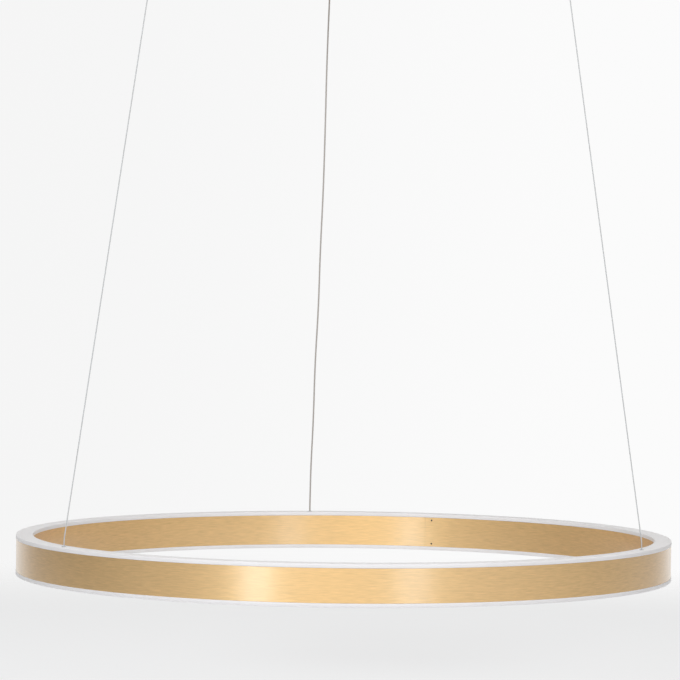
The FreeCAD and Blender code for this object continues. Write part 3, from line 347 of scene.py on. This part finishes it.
def drilled(piece, holes):
    """Drills round holes. Each is a middle, a direction, a radius and a length."""
    bpy.ops.object.select_all(action="DESELECT")
    drills = []
    for middle, direction, radius, length in holes:
        turn = Vector(direction).to_track_quat("Z", "Y").to_euler()
        bpy.ops.mesh.primitive_cylinder_add(vertices=40, radius=radius, depth=length,
                                            location=middle, rotation=turn)
        drills.append(bpy.context.object)
    for drill in drills:
        drill.select_set(True)
    if len(drills) > 1:
        bpy.ops.object.join()
    drill = bpy.context.object
    cut = piece.modifiers.new("holes", "BOOLEAN")
    cut.operation = "DIFFERENCE"
    cut.object = drill
    bpy.context.view_layer.objects.active = piece
    bpy.ops.object.modifier_apply(modifier=cut.name)
    bpy.data.objects.remove(drill)


def smoothed(piece, degrees=30):
    """Shades a piece smooth, but for edges sharper than an angle."""
    bpy.ops.object.select_all(action="DESELECT")
    bpy.context.view_layer.objects.active = piece
    piece.select_set(True)
    bpy.ops.object.shade_smooth_by_angle(angle=math.radians(degrees))


def truly_round(piece):
    """Shades the upright walls of a piece turned about the Z axis as a perfect round, also
    beside a seam or a hole, where its flat steps would show in the metal."""
    mesh = piece.data
    shown = [corner.vector.copy() for corner in mesh.corner_normals]
    for polygon in mesh.polygons:
        if abs(polygon.normal.z) > 0.02:
            continue
        for corner in polygon.loop_indices:
            place = mesh.vertices[mesh.loops[corner].vertex_index].co
            outward = Vector((place.x, place.y, 0.0)).normalized()
            along = outward.dot(polygon.normal)
            if abs(along) > 0.99:
                shown[corner] = outward * math.copysign(1.0, along)
    mesh.normals_split_custom_set(shown)


def round_ring(radius, turn, height):
    """A point at a radius, a direction and a height."""
    return Vector((radius * math.cos(turn), radius * math.sin(turn), height))


band_top, band_bottom = RING_LEVEL + BAND_HEIGHT / 2, RING_LEVEL - BAND_HEIGHT / 2
web_top, web_bottom = RING_LEVEL + WEB_THICKNESS / 2, RING_LEVEL - WEB_THICKNESS / 2
ring_band = turned_piece("brushed_gold_band", [
    (INNER_WALL, band_bottom, 0.0004),
    (INNER_CHANNEL, band_bottom, 0.0002),
    (INNER_CHANNEL, web_bottom),
    (OUTER_CHANNEL, web_bottom),
    (OUTER_CHANNEL, band_bottom, 0.0002),
    (OUTER_WALL, band_bottom, 0.0004),
    (OUTER_WALL, band_top, 0.0004),
    (OUTER_CHANNEL, band_top, 0.0002),
    (OUTER_CHANNEL, web_top),
    (INNER_CHANNEL, web_top),
    (INNER_CHANNEL, band_top, 0.0002),
    (INNER_WALL, band_top, 0.0004),
], steps=720, start=SPLICE_TURN + SEAM_BESIDE_SPLICE + SEAM_WIDTH, sweep=math.tau - SEAM_WIDTH)
drilled(ring_band, [
    *((round_ring(INNER_WALL, SPLICE_TURN, RING_LEVEL + rise), round_ring(1, SPLICE_TURN, 0),
       SCREW_HOLE, DRILL_LENGTH) for rise in (SPLICE_SCREW_RISE, -SPLICE_SCREW_RISE)),
    *((round_ring(RING_MIDDLE, turn, RING_LEVEL), UPRIGHT, ANCHOR_HOLE, DRILL_LENGTH)
      for turn in ANCHOR_TURNS.values()),
    (round_ring(RING_MIDDLE, ANCHOR_TURNS["back"] + LEAD_BESIDE_ANCHOR, RING_LEVEL), UPRIGHT,
     LEAD_HOLE, DRILL_LENGTH),
])
smoothed(ring_band)
truly_round(ring_band)

# Brushed and turned metal: fine lines that run round an upright axis, along the walls and
# in circles on level faces. Broad is what shows from across a room, fine from close by.
hairlines, hair_in, hair_out = group_sockets(
    "brushed_hairlines",
    [("Vector", "Vector", None), ("Length", "Float", 30.0), ("Broad", "Float", 900.0),
     ("Fine", "Float", 5000.0)],
    [("Streak", "Float"), ("Hair", "Float"), ("Cloud", "Float")],
)
nodes, links = hairlines.nodes, hairlines.links
split = nodes.new("ShaderNodeSeparateXYZ")
links.new(hair_in.outputs["Vector"], split.inputs[0])
flat = nodes.new("ShaderNodeCombineXYZ")
links.new(split.outputs["X"], flat.inputs["X"])
links.new(split.outputs["Y"], flat.inputs["Y"])
away = nodes.new("ShaderNodeVectorMath")
away.operation = "LENGTH"
links.new(flat.outputs[0], away.inputs[0])
level = reckon(nodes, links, "ADD", away.outputs["Value"], split.outputs["Z"])
for density, label, detail in (("Broad", "Streak", 3.0), ("Fine", "Hair", 2.0)):
    spread = nodes.new("ShaderNodeCombineXYZ")
    for axis, place, factor in (("X", split.outputs["X"], "Length"),
                                ("Y", split.outputs["Y"], "Length"), ("Z", level, density)):
        links.new(reckon(nodes, links, "MULTIPLY", place, hair_in.outputs[factor]),
                  spread.inputs[axis])
    links.new(noise_over(nodes, links, spread.outputs[0], 1.0, detail), hair_out.inputs[label])
links.new(noise_over(nodes, links, hair_in.outputs["Vector"], 9.0, 3.0), hair_out.inputs["Cloud"])


def brushed_metal(name, dark, light, centre=(0.0, 0.0), length=30.0, broad=900.0, fine=5000.0,
                  smooth=0.27, rough=0.40, depth=0.00003, anisotropy=0.6, lacquer=0.0, gloss=0.24):
    """Metal with brushing round an upright axis at centre, its highlight drawn out across
    the lines. Anodised gold has a clear hard layer over it, the lacquer here."""
    material, nodes, links, shader = bare_material(name)
    coordinates = nodes.new("ShaderNodeTexCoord")
    centring = nodes.new("ShaderNodeMapping")
    centring.inputs["Location"].default_value = (-centre[0], -centre[1], 0.0)
    links.new(coordinates.outputs["Object"], centring.inputs["Vector"])
    brushing = nodes.new("ShaderNodeGroup")
    brushing.node_tree = hairlines
    for label, amount in (("Length", length), ("Broad", broad), ("Fine", fine)):
        brushing.inputs[label].default_value = amount
    links.new(centring.outputs["Vector"], brushing.inputs["Vector"])
    both = reckon(nodes, links, "ADD", brushing.outputs["Streak"], brushing.outputs["Hair"])
    mean = reckon(nodes, links, "MULTIPLY", both, 0.5)
    tone = nodes.new("ShaderNodeMapRange")
    tone.inputs["From Min"].default_value = 0.30
    tone.inputs["From Max"].default_value = 0.70
    links.new(mean, tone.inputs["Value"])
    links.new(blended(nodes, links, tone.outputs["Result"], dark, light),
              shader.inputs["Base Color"])
    links.new(fitted_range(nodes, links, brushing.outputs["Cloud"], smooth, rough),
              shader.inputs["Roughness"])
    relief(nodes, links, shader, mean, 0.5, depth)
    shader.inputs["Metallic"].default_value = 1.0
    shader.inputs["Anisotropic"].default_value = anisotropy
    shader.inputs["Anisotropic Rotation"].default_value = 0.25
    shader.inputs["Coat Weight"].default_value = lacquer
    shader.inputs["Coat Roughness"].default_value = gloss
    shader.inputs["Coat IOR"].default_value = 2.0
    tangent = nodes.new("ShaderNodeTangent")
    tangent.direction_type = "RADIAL"
    tangent.axis = "Z"
    links.new(tangent.outputs["Tangent"], shader.inputs["Tangent"])
    return material


ring_band.data.materials.append(brushed_metal(
    "brushed_gold", (0.65, 0.410, 0.145), (0.87, 0.550, 0.210), length=75.0, broad=700.0,
    fine=4200.0, smooth=0.38, rough=0.47, depth=0.00012, anisotropy=0.7, lacquer=1.0, gloss=0.21))
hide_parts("ring_band")
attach(ring_band, "ring")

# ---------------------------------------------------------------- splice
# A bent steel bar behind the inner wall at the top and another at the bottom bridge the
# hairline. Their two blackened grub screws with hexagon sockets show as dark dots.
blackened = brushed_metal("blackened_steel", (0.020, 0.016, 0.013), (0.055, 0.045, 0.038),
                          smooth=0.35, rough=0.55, anisotropy=0.0)
zinc = brushed_metal("zinc_plated_steel", (0.42, 0.43, 0.45), (0.62, 0.63, 0.65), length=120.0,
                     broad=600.0, smooth=0.25, rough=0.45, anisotropy=0.2)


def finish_nodes(material, *names):
    """Gives a part that keeps its built shape its finish."""
    for name in names:
        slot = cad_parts[name].material_slots[0]
        slot.link = "OBJECT"
        slot.material = material


finish_nodes(blackened, "splice_screws")
finish_nodes(zinc, "upper_splice_bar", "lower_splice_bar")

# ---------------------------------------------------------------- diffusers
# Two turned rings of opal acrylic, satin outside. Each has a tongue that snaps between the
# band's walls and a cap a hair wider than the band. The upper one is drilled for the bushes.
CAP_THICKNESS, TONGUE_DEPTH, BUSH_HOLE = 0.0047, 0.002, 0.00192


def opal_ring(name, face, sign):
    """A diffuser. Face is the height of the band's edge, and sign is up or down."""
    level = face + sign * CAP_THICKNESS
    tongue = face - sign * TONGUE_DEPTH
    return turned_piece(name, [
        (0.3816, tongue, 0.0002),
        (0.3984, tongue, 0.0002),
        (0.3984, face),
        (0.4003, face, 0.00015),
        (0.4003, level, 0.0008),
        (0.3797, level, 0.0008),
        (0.3797, face, 0.00015),
        (0.3816, face),
    ], steps=720)


upper_diffuser = opal_ring("upper_opal_diffuser", band_top, 1)
drilled(upper_diffuser, [
    (round_ring(RING_MIDDLE, turn, band_top), UPRIGHT, BUSH_HOLE, 0.02)
    for turn in ANCHOR_TURNS.values()
])
lower_diffuser = opal_ring("lower_opal_diffuser", band_bottom, -1)

opal, nodes, links, shader = bare_material("opal_acrylic")
place = nodes.new("ShaderNodeTexCoord").outputs["Object"]
milk = noise_over(nodes, links, place, 14.0, 4.0)
links.new(blended(nodes, links, milk, (0.655, 0.635, 0.625), (0.735, 0.715, 0.705)),
          shader.inputs["Base Color"])
links.new(fitted_range(nodes, links, milk, 0.30, 0.46), shader.inputs["Roughness"])
relief(nodes, links, shader, noise_over(nodes, links, place, 2600.0), 0.15, 0.00005)
shader.inputs["Subsurface Weight"].default_value = 0.35
shader.inputs["Subsurface Radius"].default_value = (1.0, 0.95, 0.95)
shader.inputs["Subsurface Scale"].default_value = 0.002
for ring, node in ((upper_diffuser, "upper_diffuser"), (lower_diffuser, "lower_diffuser")):
    smoothed(ring)
    ring.data.materials.append(opal)
    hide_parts(node)
    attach(ring, "ring")

# ---------------------------------------------------------------- moulded and printed parts
# A fine speckle, with the slow unevenness of paint, moulded plastic or printed board. The
# light boards on both sides of the band's web and their rows of chips wear it first.
speckle, speck_in, speck_out = group_sockets(
    "fine_speckle",
    [("Vector", "Vector", None), ("Grain", "Float", 1500.0), ("Mottle", "Float", 40.0)],
    [("Speck", "Float"), ("Patch", "Float")],
)
for density, label in (("Grain", "Speck"), ("Mottle", "Patch")):
    noise = noise_over(speckle.nodes, speckle.links, speck_in.outputs["Vector"],
                       speck_in.outputs[density], 3.0)
    speckle.links.new(noise, speck_out.inputs[label])


def speckled(name, dark, light, grain=1500.0, mottle=40.0, smooth=0.35, rough=0.55, metallic=0.0):
    """A moulded, painted or printed surface."""
    material, nodes, links, shader = bare_material(name)
    coordinates = nodes.new("ShaderNodeTexCoord")
    surface = nodes.new("ShaderNodeGroup")
    surface.node_tree = speckle
    surface.inputs["Grain"].default_value = grain
    surface.inputs["Mottle"].default_value = mottle
    links.new(coordinates.outputs["Object"], surface.inputs["Vector"])
    links.new(blended(nodes, links, surface.outputs["Patch"], dark, light),
              shader.inputs["Base Color"])
    links.new(fitted_range(nodes, links, surface.outputs["Speck"], smooth, rough),
              shader.inputs["Roughness"])
    relief(nodes, links, shader, surface.outputs["Speck"], 0.3, 0.00004)
    shader.inputs["Metallic"].default_value = metallic
    return material


solder_mask = speckled("white_solder_mask", (0.74, 0.74, 0.72), (0.82, 0.82, 0.80), smooth=0.25,
                       rough=0.4)
phosphor = speckled("light_chip_phosphor", (0.74, 0.62, 0.16), (0.86, 0.76, 0.30), grain=4000.0,
                    rough=0.6)
for face in ("upper", "lower"):
    finish_nodes(solder_mask, *(f"{face}_light_board_{part}"
                                for part in ("rear_left", "front", "rear_right")))
    finish_nodes(phosphor, f"{face}_light_chips")

# ---------------------------------------------------------------- anchors in the band
# Nickel plated studs through the web, with their nuts, and the crimped sleeves on the ends
# of the strands that sit in them.
nickel = brushed_metal("nickel_plated_brass", (0.52, 0.50, 0.46), (0.70, 0.68, 0.64), length=200.0,
                       broad=1500.0, smooth=0.18, rough=0.32, anisotropy=0.3)
crimp = speckled("tinned_crimp_sleeve", (0.50, 0.50, 0.49), (0.66, 0.66, 0.64), grain=3000.0,
                 mottle=500.0, smooth=0.28, rough=0.5, metallic=1.0)
finish_nodes(nickel, "wire_anchor_back", "wire_anchor_left", "wire_anchor_right", "anchor_nuts")
finish_nodes(crimp, "wire_ferrules", "cord_ferrule")

# ---------------------------------------------------------------- bushes
# A clear nylon bush where each strand goes into the upper diffuser: a flange half a
# millimetre thick with a soft rim, on a short tube.
clear, nodes, links, shader = bare_material("clear_nylon")
place = nodes.new("ShaderNodeTexCoord").outputs["Object"]
haze = noise_over(nodes, links, place, 900.0)
links.new(blended(nodes, links, haze, (0.80, 0.80, 0.79), (0.90, 0.90, 0.89)),
          shader.inputs["Base Color"])
links.new(fitted_range(nodes, links, haze, 0.12, 0.3), shader.inputs["Roughness"])
shader.inputs["Transmission Weight"].default_value = 0.6
shader.inputs["IOR"].default_value = 1.5


def joined(name, pieces):
    """Several loose pieces as one object."""
    bpy.ops.object.select_all(action="DESELECT")
    for piece in pieces:
        piece.select_set(True)
    bpy.context.view_layer.objects.active = pieces[0]
    bpy.ops.object.join()
    whole = bpy.context.object
    whole.name = whole.data.name = name
    return whole


tube_foot, flange_foot = band_top - TONGUE_DEPTH, band_top + CAP_THICKNESS
flange_top = flange_foot + 0.0005
bushes = []
for side, turn in ANCHOR_TURNS.items():
    bore = 0.00115 if side == "back" else 0.0008
    bushes.append(turned_piece(f"bush_{side}", [
        (bore, tube_foot),
        (0.0019, tube_foot, 0.0002),
        (0.0019, flange_foot),
        (0.0028, flange_foot),
        (0.0028, flange_top, 0.0003),
        (bore, flange_top, 0.0001),
    ], centre=round_ring(RING_MIDDLE, turn, 0).xy, steps=40))
bush_set = joined("clear_bushes", bushes)
smoothed(bush_set)
bush_set.data.materials.append(clear)
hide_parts("wire_grommets")
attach(bush_set, "ring")

# ---------------------------------------------------------------- cores
# The cord's cores run on to the light boards inside the ring, and three mains cores run
# from the terminal block to the driver. The cord's tail in the canopy keeps its sheath.
core = speckled("core_insulation", (0.62, 0.58, 0.52), (0.74, 0.70, 0.64), grain=2500.0,
                smooth=0.3, rough=0.45)
finish_nodes(core, "feed_leads", "mains_leads")
finish_nodes(speckled("clouded_cord_tail", (0.36, 0.325, 0.295), (0.52, 0.475, 0.43), grain=2500.0,
                      mottle=300.0, smooth=0.35, rough=0.5), "power_cord_tail")

# ---------------------------------------------------------------- cable grippers
# A turned gold collar with a cone under it hangs from each ceiling fitting. The strand comes
# out through a nickel plated plunger: pushed up, it lets the strand run. Three hardened
# balls, a coil spring, a threaded stopper and a nut are inside.

# Each has a middle, the height where its collar is seated, and the collar's bore and cavity.
FITTINGS = {
    "back": ((-0.026068, 0.275771), -0.040, 0.00266, 0.0038),
    "left": ((-0.225790, -0.160461), -0.024, 0.00231, 0.00345),
    "right": ((0.251858, -0.115310), -0.024, 0.00231, 0.00345),
}
GOLD = (0.74, 0.48, 0.205), (0.90, 0.60, 0.275)
for side, (centre, seat, bore, cavity) in FITTINGS.items():
    collar = turned_piece(f"gripper_collar_{side}", [
        (bore, seat - 0.014, 0.0002),
        (0.0046, seat - 0.014, 0.0004),
        (0.0065, seat - 0.009, 0.0006),
        (0.0065, seat - 0.0060, 0.0002),
        (0.0062, seat - 0.0057, 0.0001),
        (0.0062, seat - 0.0051, 0.0001),
        (0.0065, seat - 0.0048, 0.0002),
        (0.0065, seat, 0.0004),
        (0.0050, seat),
        (0.0050, seat + 0.010, 0.0004),
        (cavity, seat + 0.010),
        (cavity, seat - 0.002875),
        (bore, seat - 0.010),
    ], centre=centre, steps=96)
    smoothed(collar)
    collar.data.materials.append(brushed_metal(
        f"turned_gold_gripper_{side}", *GOLD, centre=centre, length=60.0, broad=2200.0,
        fine=9000.0, smooth=0.22, rough=0.34, anisotropy=0.5))
    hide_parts(f"gripper_body_{side}")
    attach(collar, "ceiling")
hardened = brushed_metal("hardened_steel", (0.45, 0.45, 0.46), (0.66, 0.66, 0.67), length=400.0,
                         broad=3000.0, smooth=0.12, rough=0.25, anisotropy=0.0)
finish_nodes(nickel, "gripper_lock_nuts")
for side in FITTINGS:
    finish_nodes(nickel, f"release_plunger_{side}", f"gripper_stopper_{side}")
    finish_nodes(hardened, f"gripper_balls_{side}")

# The plunger's flange squeezes the spring up towards the stopper by its stroke, so the coil
# is a piece of its own here, in the shape it is built in.
for side, (centre, seat, _, _) in FITTINGS.items():
    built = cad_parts[f"gripper_spring_{side}"]
    mesh = built.data.copy()
    mesh.transform(built.matrix_world)
    mesh.materials.clear()
    coil = bpy.data.objects.new(f"gripper_coil_{side}", mesh)
    bpy.context.scene.collection.objects.link(coil)
    bpy.ops.object.select_all(action="DESELECT")
    bpy.context.view_layer.objects.active = coil
    coil.select_set(True)
    bpy.ops.object.mode_set(mode="EDIT")
    bpy.ops.mesh.select_all(action="SELECT")
    bpy.ops.mesh.remove_doubles(threshold=1e-6)
    bpy.ops.object.mode_set(mode="OBJECT")
    smoothed(coil, 40)
    coil.data.materials.append(hardened)
    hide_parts(f"gripper_spring_{side}")
    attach(coil, "ceiling")
    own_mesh(coil)

# ---------------------------------------------------------------- ceiling cups
# Each plain wire's fitting is a turned cup, screwed up over a threaded steel base that is
# fixed to the ceiling. Its lower edge is chamfered and its face has fine turning lines.
CEILING_GAP = 0.0003
COLLAR_HOLE = 0.00505
for side in ("left", "right"):
    centre, seat, _, _ = FITTINGS[side]
    cup = turned_piece(f"turned_cup_{side}", [
        (0.01205, -CEILING_GAP),
        (0.0140, -CEILING_GAP, 0.0002),
        (0.0140, seat, 0.0010),
        (COLLAR_HOLE, seat, 0.0002),
        (COLLAR_HOLE, seat + 0.0025),
        (0.01205, seat + 0.0025),
    ], centre=centre, steps=128)
    smoothed(cup)
    cup.data.materials.append(brushed_metal(
        f"turned_gold_cup_{side}", *GOLD, centre=centre, length=40.0, broad=1500.0, fine=7000.0,
        smooth=0.24, rough=0.36))
    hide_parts(f"ceiling_cup_{side}")
    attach(cup, "ceiling")
finish_nodes(zinc, "ceiling_base_left", "ceiling_base_right")

# ---------------------------------------------------------------- canopy
# A spun aluminium cup of 200 mm over the driver, brushed in circles and anodised gold. It
# hangs on two knurled thumb screws that go through its wall into a steel bracket.
CANOPY, seat, _, _ = FITTINGS["back"]
CANOPY_RADIUS, CANOPY_BORE, SCREW_LEVEL = 0.1, 0.0988, -0.009
canopy = turned_piece("spun_gold_canopy", [
    (CANOPY_BORE, -CEILING_GAP),
    (CANOPY_RADIUS, -CEILING_GAP, 0.0002),
    (CANOPY_RADIUS, seat, 0.0040),
    (COLLAR_HOLE, seat, 0.0002),
    (COLLAR_HOLE, seat + 0.0015),
    (CANOPY_BORE, seat + 0.0015, 0.0028),
], centre=CANOPY, steps=256)
drilled(canopy, [((*CANOPY, SCREW_LEVEL), (1, 0, 0), 0.0021, 2.5 * CANOPY_RADIUS)])
smoothed(canopy)
canopy.data.materials.append(brushed_metal(
    "spun_gold", *GOLD, centre=CANOPY, length=14.0, broad=900.0, fine=4500.0, smooth=0.26,
    rough=0.40))
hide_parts("canopy_cover")
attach(canopy, "ceiling")

# The thumb screws: a knob with a chamfered edge, a shallow ring in its face and 28 flutes
# round it, and a shank that goes in through the wall.
KNOB_RADIUS, KNOB_LENGTH, FLUTES = 0.004, 0.005, 28
SHANK_RADIUS, SHANK_LENGTH = 0.0020, 0.0064
FACING = 0.99


def select_faces(piece, wanted):
    """Selects only the faces that are wanted."""
    bm = bmesh.from_edit_mesh(piece.data)
    for polygon in bm.faces:
        polygon.select = wanted(polygon)
    bmesh.update_edit_mesh(piece.data)


def round_the_screw(polygon):
    """Where a face lies round a thumb screw's axis, as an angle."""
    middle = polygon.calc_center_median()
    return math.atan2(middle.z - SCREW_LEVEL, middle.y - CANOPY[1])


knobs = []
for hand in (1, -1):
    wall = CANOPY[0] + hand * CANOPY_RADIUS
    bpy.ops.object.select_all(action="DESELECT")
    bpy.ops.mesh.primitive_cylinder_add(
        vertices=2 * FLUTES, radius=KNOB_RADIUS, depth=KNOB_LENGTH, end_fill_type="NGON",
        location=(wall + hand * KNOB_LENGTH / 2, CANOPY[1], SCREW_LEVEL),
        rotation=(0, math.pi / 2, 0))
    knob = bpy.context.object
    bpy.ops.object.transform_apply(location=True, rotation=True, scale=True)
    bpy.ops.object.mode_set(mode="EDIT")
    select_faces(knob, lambda polygon: polygon.normal.x * hand > FACING)
    bpy.ops.mesh.bevel(offset=0.0004, segments=3, affect="EDGES")
    select_faces(knob, lambda polygon: polygon.normal.x * hand > FACING)
    bpy.ops.mesh.inset(thickness=0.0010, depth=0.0)
    bpy.ops.mesh.inset(thickness=0.0003, depth=-0.0003)
    bm = bmesh.from_edit_mesh(knob.data)
    bm.faces.index_update()
    strips = [polygon for polygon in bm.faces
              if abs(polygon.normal.x) < 0.01 and polygon.calc_area() > 1e-6]
    fluted = {polygon.index for polygon in sorted(strips, key=round_the_screw)[::2]}
    select_faces(knob, lambda polygon: polygon.index in fluted)
    bpy.ops.mesh.inset(thickness=0.00008, depth=-0.00022, use_individual=True)
    select_faces(knob, lambda polygon: polygon.normal.x * hand < -FACING)
    bpy.ops.mesh.inset(thickness=KNOB_RADIUS - SHANK_RADIUS, depth=0.0)
    bpy.ops.mesh.extrude_region_move(
        TRANSFORM_OT_translate={"value": (-hand * SHANK_LENGTH, 0, 0)})
    bpy.ops.object.mode_set(mode="OBJECT")
    knobs.append(knob)
knob_pair = joined("knurled_thumb_screws", knobs)
smoothed(knob_pair, 25)
knob_pair.data.materials.append(brushed_metal(
    "gold_plated_knurl", *GOLD, centre=CANOPY, length=80.0, broad=2500.0, smooth=0.22,
    rough=0.34, anisotropy=0.2))
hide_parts("canopy_thumb_screws")
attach(knob_pair, "ceiling")
finish_nodes(zinc, "canopy_bracket", "earth_screw", "terminal_screws")

# ---------------------------------------------------------------- driver and terminal block
# The constant current driver lies on the canopy's floor in a white moulded case, with its
# board, transformer and capacitors. The mains goes to a three pole block under the bracket.
moulded = speckled("white_moulded_plastic", (0.70, 0.70, 0.68), (0.80, 0.80, 0.785), grain=1800.0,
                   smooth=0.4, rough=0.6)
finish_nodes(moulded, "driver_case", "driver_lid", "terminal_block")
finish_nodes(speckled("green_laminate", (0.010, 0.075, 0.030), (0.025, 0.14, 0.055), mottle=180.0,
                      smooth=0.3, rough=0.5), "driver_board")
finish_nodes(speckled("taped_winding", (0.35, 0.24, 0.05), (0.52, 0.38, 0.10), mottle=300.0,
                      smooth=0.3, rough=0.5), "driver_transformer")
finish_nodes(speckled("capacitor_sleeve", (0.015, 0.020, 0.045), (0.03, 0.04, 0.08), smooth=0.2,
                      rough=0.35), "driver_capacitors")

# ---------------------------------------------------------------- the studio
# A pale floor under the ring that fades into a pale backdrop, with light from a large soft
# box high in front and two tall cool ones to the left and right of the camera. The room is
# lighter in front than at the left and behind, which gives the band its darker flanks.
FLOOR_LEVEL = -1.05
bpy.ops.object.select_all(action="DESELECT")
bpy.ops.mesh.primitive_circle_add(vertices=160, radius=3.0, fill_type="NGON",
                                  location=(0, 0, FLOOR_LEVEL))
floor = bpy.context.object
floor.name = "studio_floor"
floor_finish, nodes, links, shader = bare_material("pale_floor")
shader.inputs["Base Color"].default_value = (0.93, 0.93, 0.93, 1.0)
shader.inputs["Roughness"].default_value = 0.9
shader.inputs["Specular IOR Level"].default_value = 0.1


def either(nodes, links, first, second):
    """The larger of two numbers, such as two kinds of ray."""
    return reckon(nodes, links, "MAXIMUM", first, second)


def mixed(nodes, links, factor, first, second):
    """One shader fading into another."""
    mix = nodes.new("ShaderNodeMixShader")
    for socket, source in zip(mix.inputs, (factor, first, second)):
        links.new(source, socket)
    return mix.outputs[0]


# The camera and the metal see the floor brightened by a glow of its own, which lights nothing.
ray = nodes.new("ShaderNodeLightPath").outputs
looking = either(nodes, links, ray["Is Camera Ray"],
                 either(nodes, links, ray["Is Glossy Ray"], ray["Is Transmission Ray"]))
glow = nodes.new("ShaderNodeEmission")
glow.inputs["Strength"].default_value = 0.96
paler = mixed(nodes, links, reckon(nodes, links, "MULTIPLY", looking, 0.55), shader.outputs[0],
              glow.outputs[0])

# It is gone towards its rim, and sooner on the side of the camera.
place = nodes.new("ShaderNodeTexCoord").outputs["Object"]
distance = nodes.new("ShaderNodeVectorMath")
distance.operation = "LENGTH"
links.new(place, distance.inputs[0])
axes = nodes.new("ShaderNodeSeparateXYZ")
links.new(place, axes.inputs[0])
rim = fitted_range(nodes, links, distance.outputs["Value"], 0.0, 1.0, start=1.85, end=2.93)
near_rim = fitted_range(nodes, links, axes.outputs["Y"], 0.0, 1.0, start=-0.7, end=-1.3)
see_through = nodes.new("ShaderNodeBsdfTransparent")
faded = mixed(nodes, links, either(nodes, links, rim, near_rim), paler, see_through.outputs[0])
links.new(faded, nodes["Material Output"].inputs["Surface"])
floor.data.materials.append(floor_finish)

LAMPS_AIM = (0, 0, -0.7)
for name, place, size, watts, tint in (
    ("left_softbox", (-1.45, -2.80, -0.35), (0.55, 1.8), 8.0, (0.62, 0.78, 1.0)),
    ("right_softbox", (1.20, -2.95, -0.35), (0.60, 1.8), 5.5, (0.62, 0.78, 1.0)),
    ("high_softbox", (-0.30, -2.15, 2.40), (1.0, 1.0), 78.0, (0.97, 0.98, 1.0)),
):
    bpy.ops.object.light_add(type="AREA", location=place)
    lamp = bpy.context.object
    lamp.name = name
    lamp.data.shape = "RECTANGLE"
    lamp.data.size, lamp.data.size_y = size
    lamp.data.energy = watts
    lamp.data.color = tint
    aim = Vector(LAMPS_AIM) - Vector(place)
    lamp.rotation_euler = aim.to_track_quat("-Z", "Y").to_euler()

# The room is light in front, and dimmer at the left, overhead and behind. The camera sees a
# pale backdrop all round, and metal and glass see it behind the ring.
world = bpy.data.worlds.new("pale_room")
bpy.context.scene.world = world
world.use_nodes = True
nodes, links = world.node_tree.nodes, world.node_tree.links
nodes.clear()
direction = nodes.new("ShaderNodeSeparateXYZ")
links.new(nodes.new("ShaderNodeTexCoord").outputs["Generated"], direction.inputs[0])
along_x, along_y, along_z = direction.outputs
front = fitted_range(nodes, links, along_y, 0.48, 1.0, start=0.25, end=-0.95)
left = fitted_range(nodes, links, along_x, 0.0, 0.20, start=-0.4, end=-1.0)
above = fitted_range(nodes, links, along_z, 0.0, 0.14, start=0.3, end=0.8)
room_strength = reckon(nodes, links, "SUBTRACT", front, reckon(nodes, links, "ADD", left, above))
backdrop_strength = fitted_range(nodes, links, along_x, 0.915, 0.965, start=-0.12, end=0.10)
lights = []
for strength in (room_strength, backdrop_strength):
    light = nodes.new("ShaderNodeBackground")
    light.inputs["Color"].default_value = (1.0, 1.0, 1.0, 1.0)
    links.new(strength, light.inputs["Strength"])
    lights.append(light.outputs[0])
ray = nodes.new("ShaderNodeLightPath").outputs
behind = fitted_range(nodes, links, along_y, 0.0, 1.0, start=0.7, end=1.0)
mirrored = reckon(nodes, links, "MULTIPLY", behind,
                  either(nodes, links, ray["Is Glossy Ray"], ray["Is Transmission Ray"]))
surroundings = mixed(nodes, links, either(nodes, links, ray["Is Camera Ray"], mirrored), *lights)
out = nodes.new("ShaderNodeOutputWorld")
links.new(surroundings, out.inputs["Surface"])

bpy.context.scene.view_settings.view_transform = "Standard"
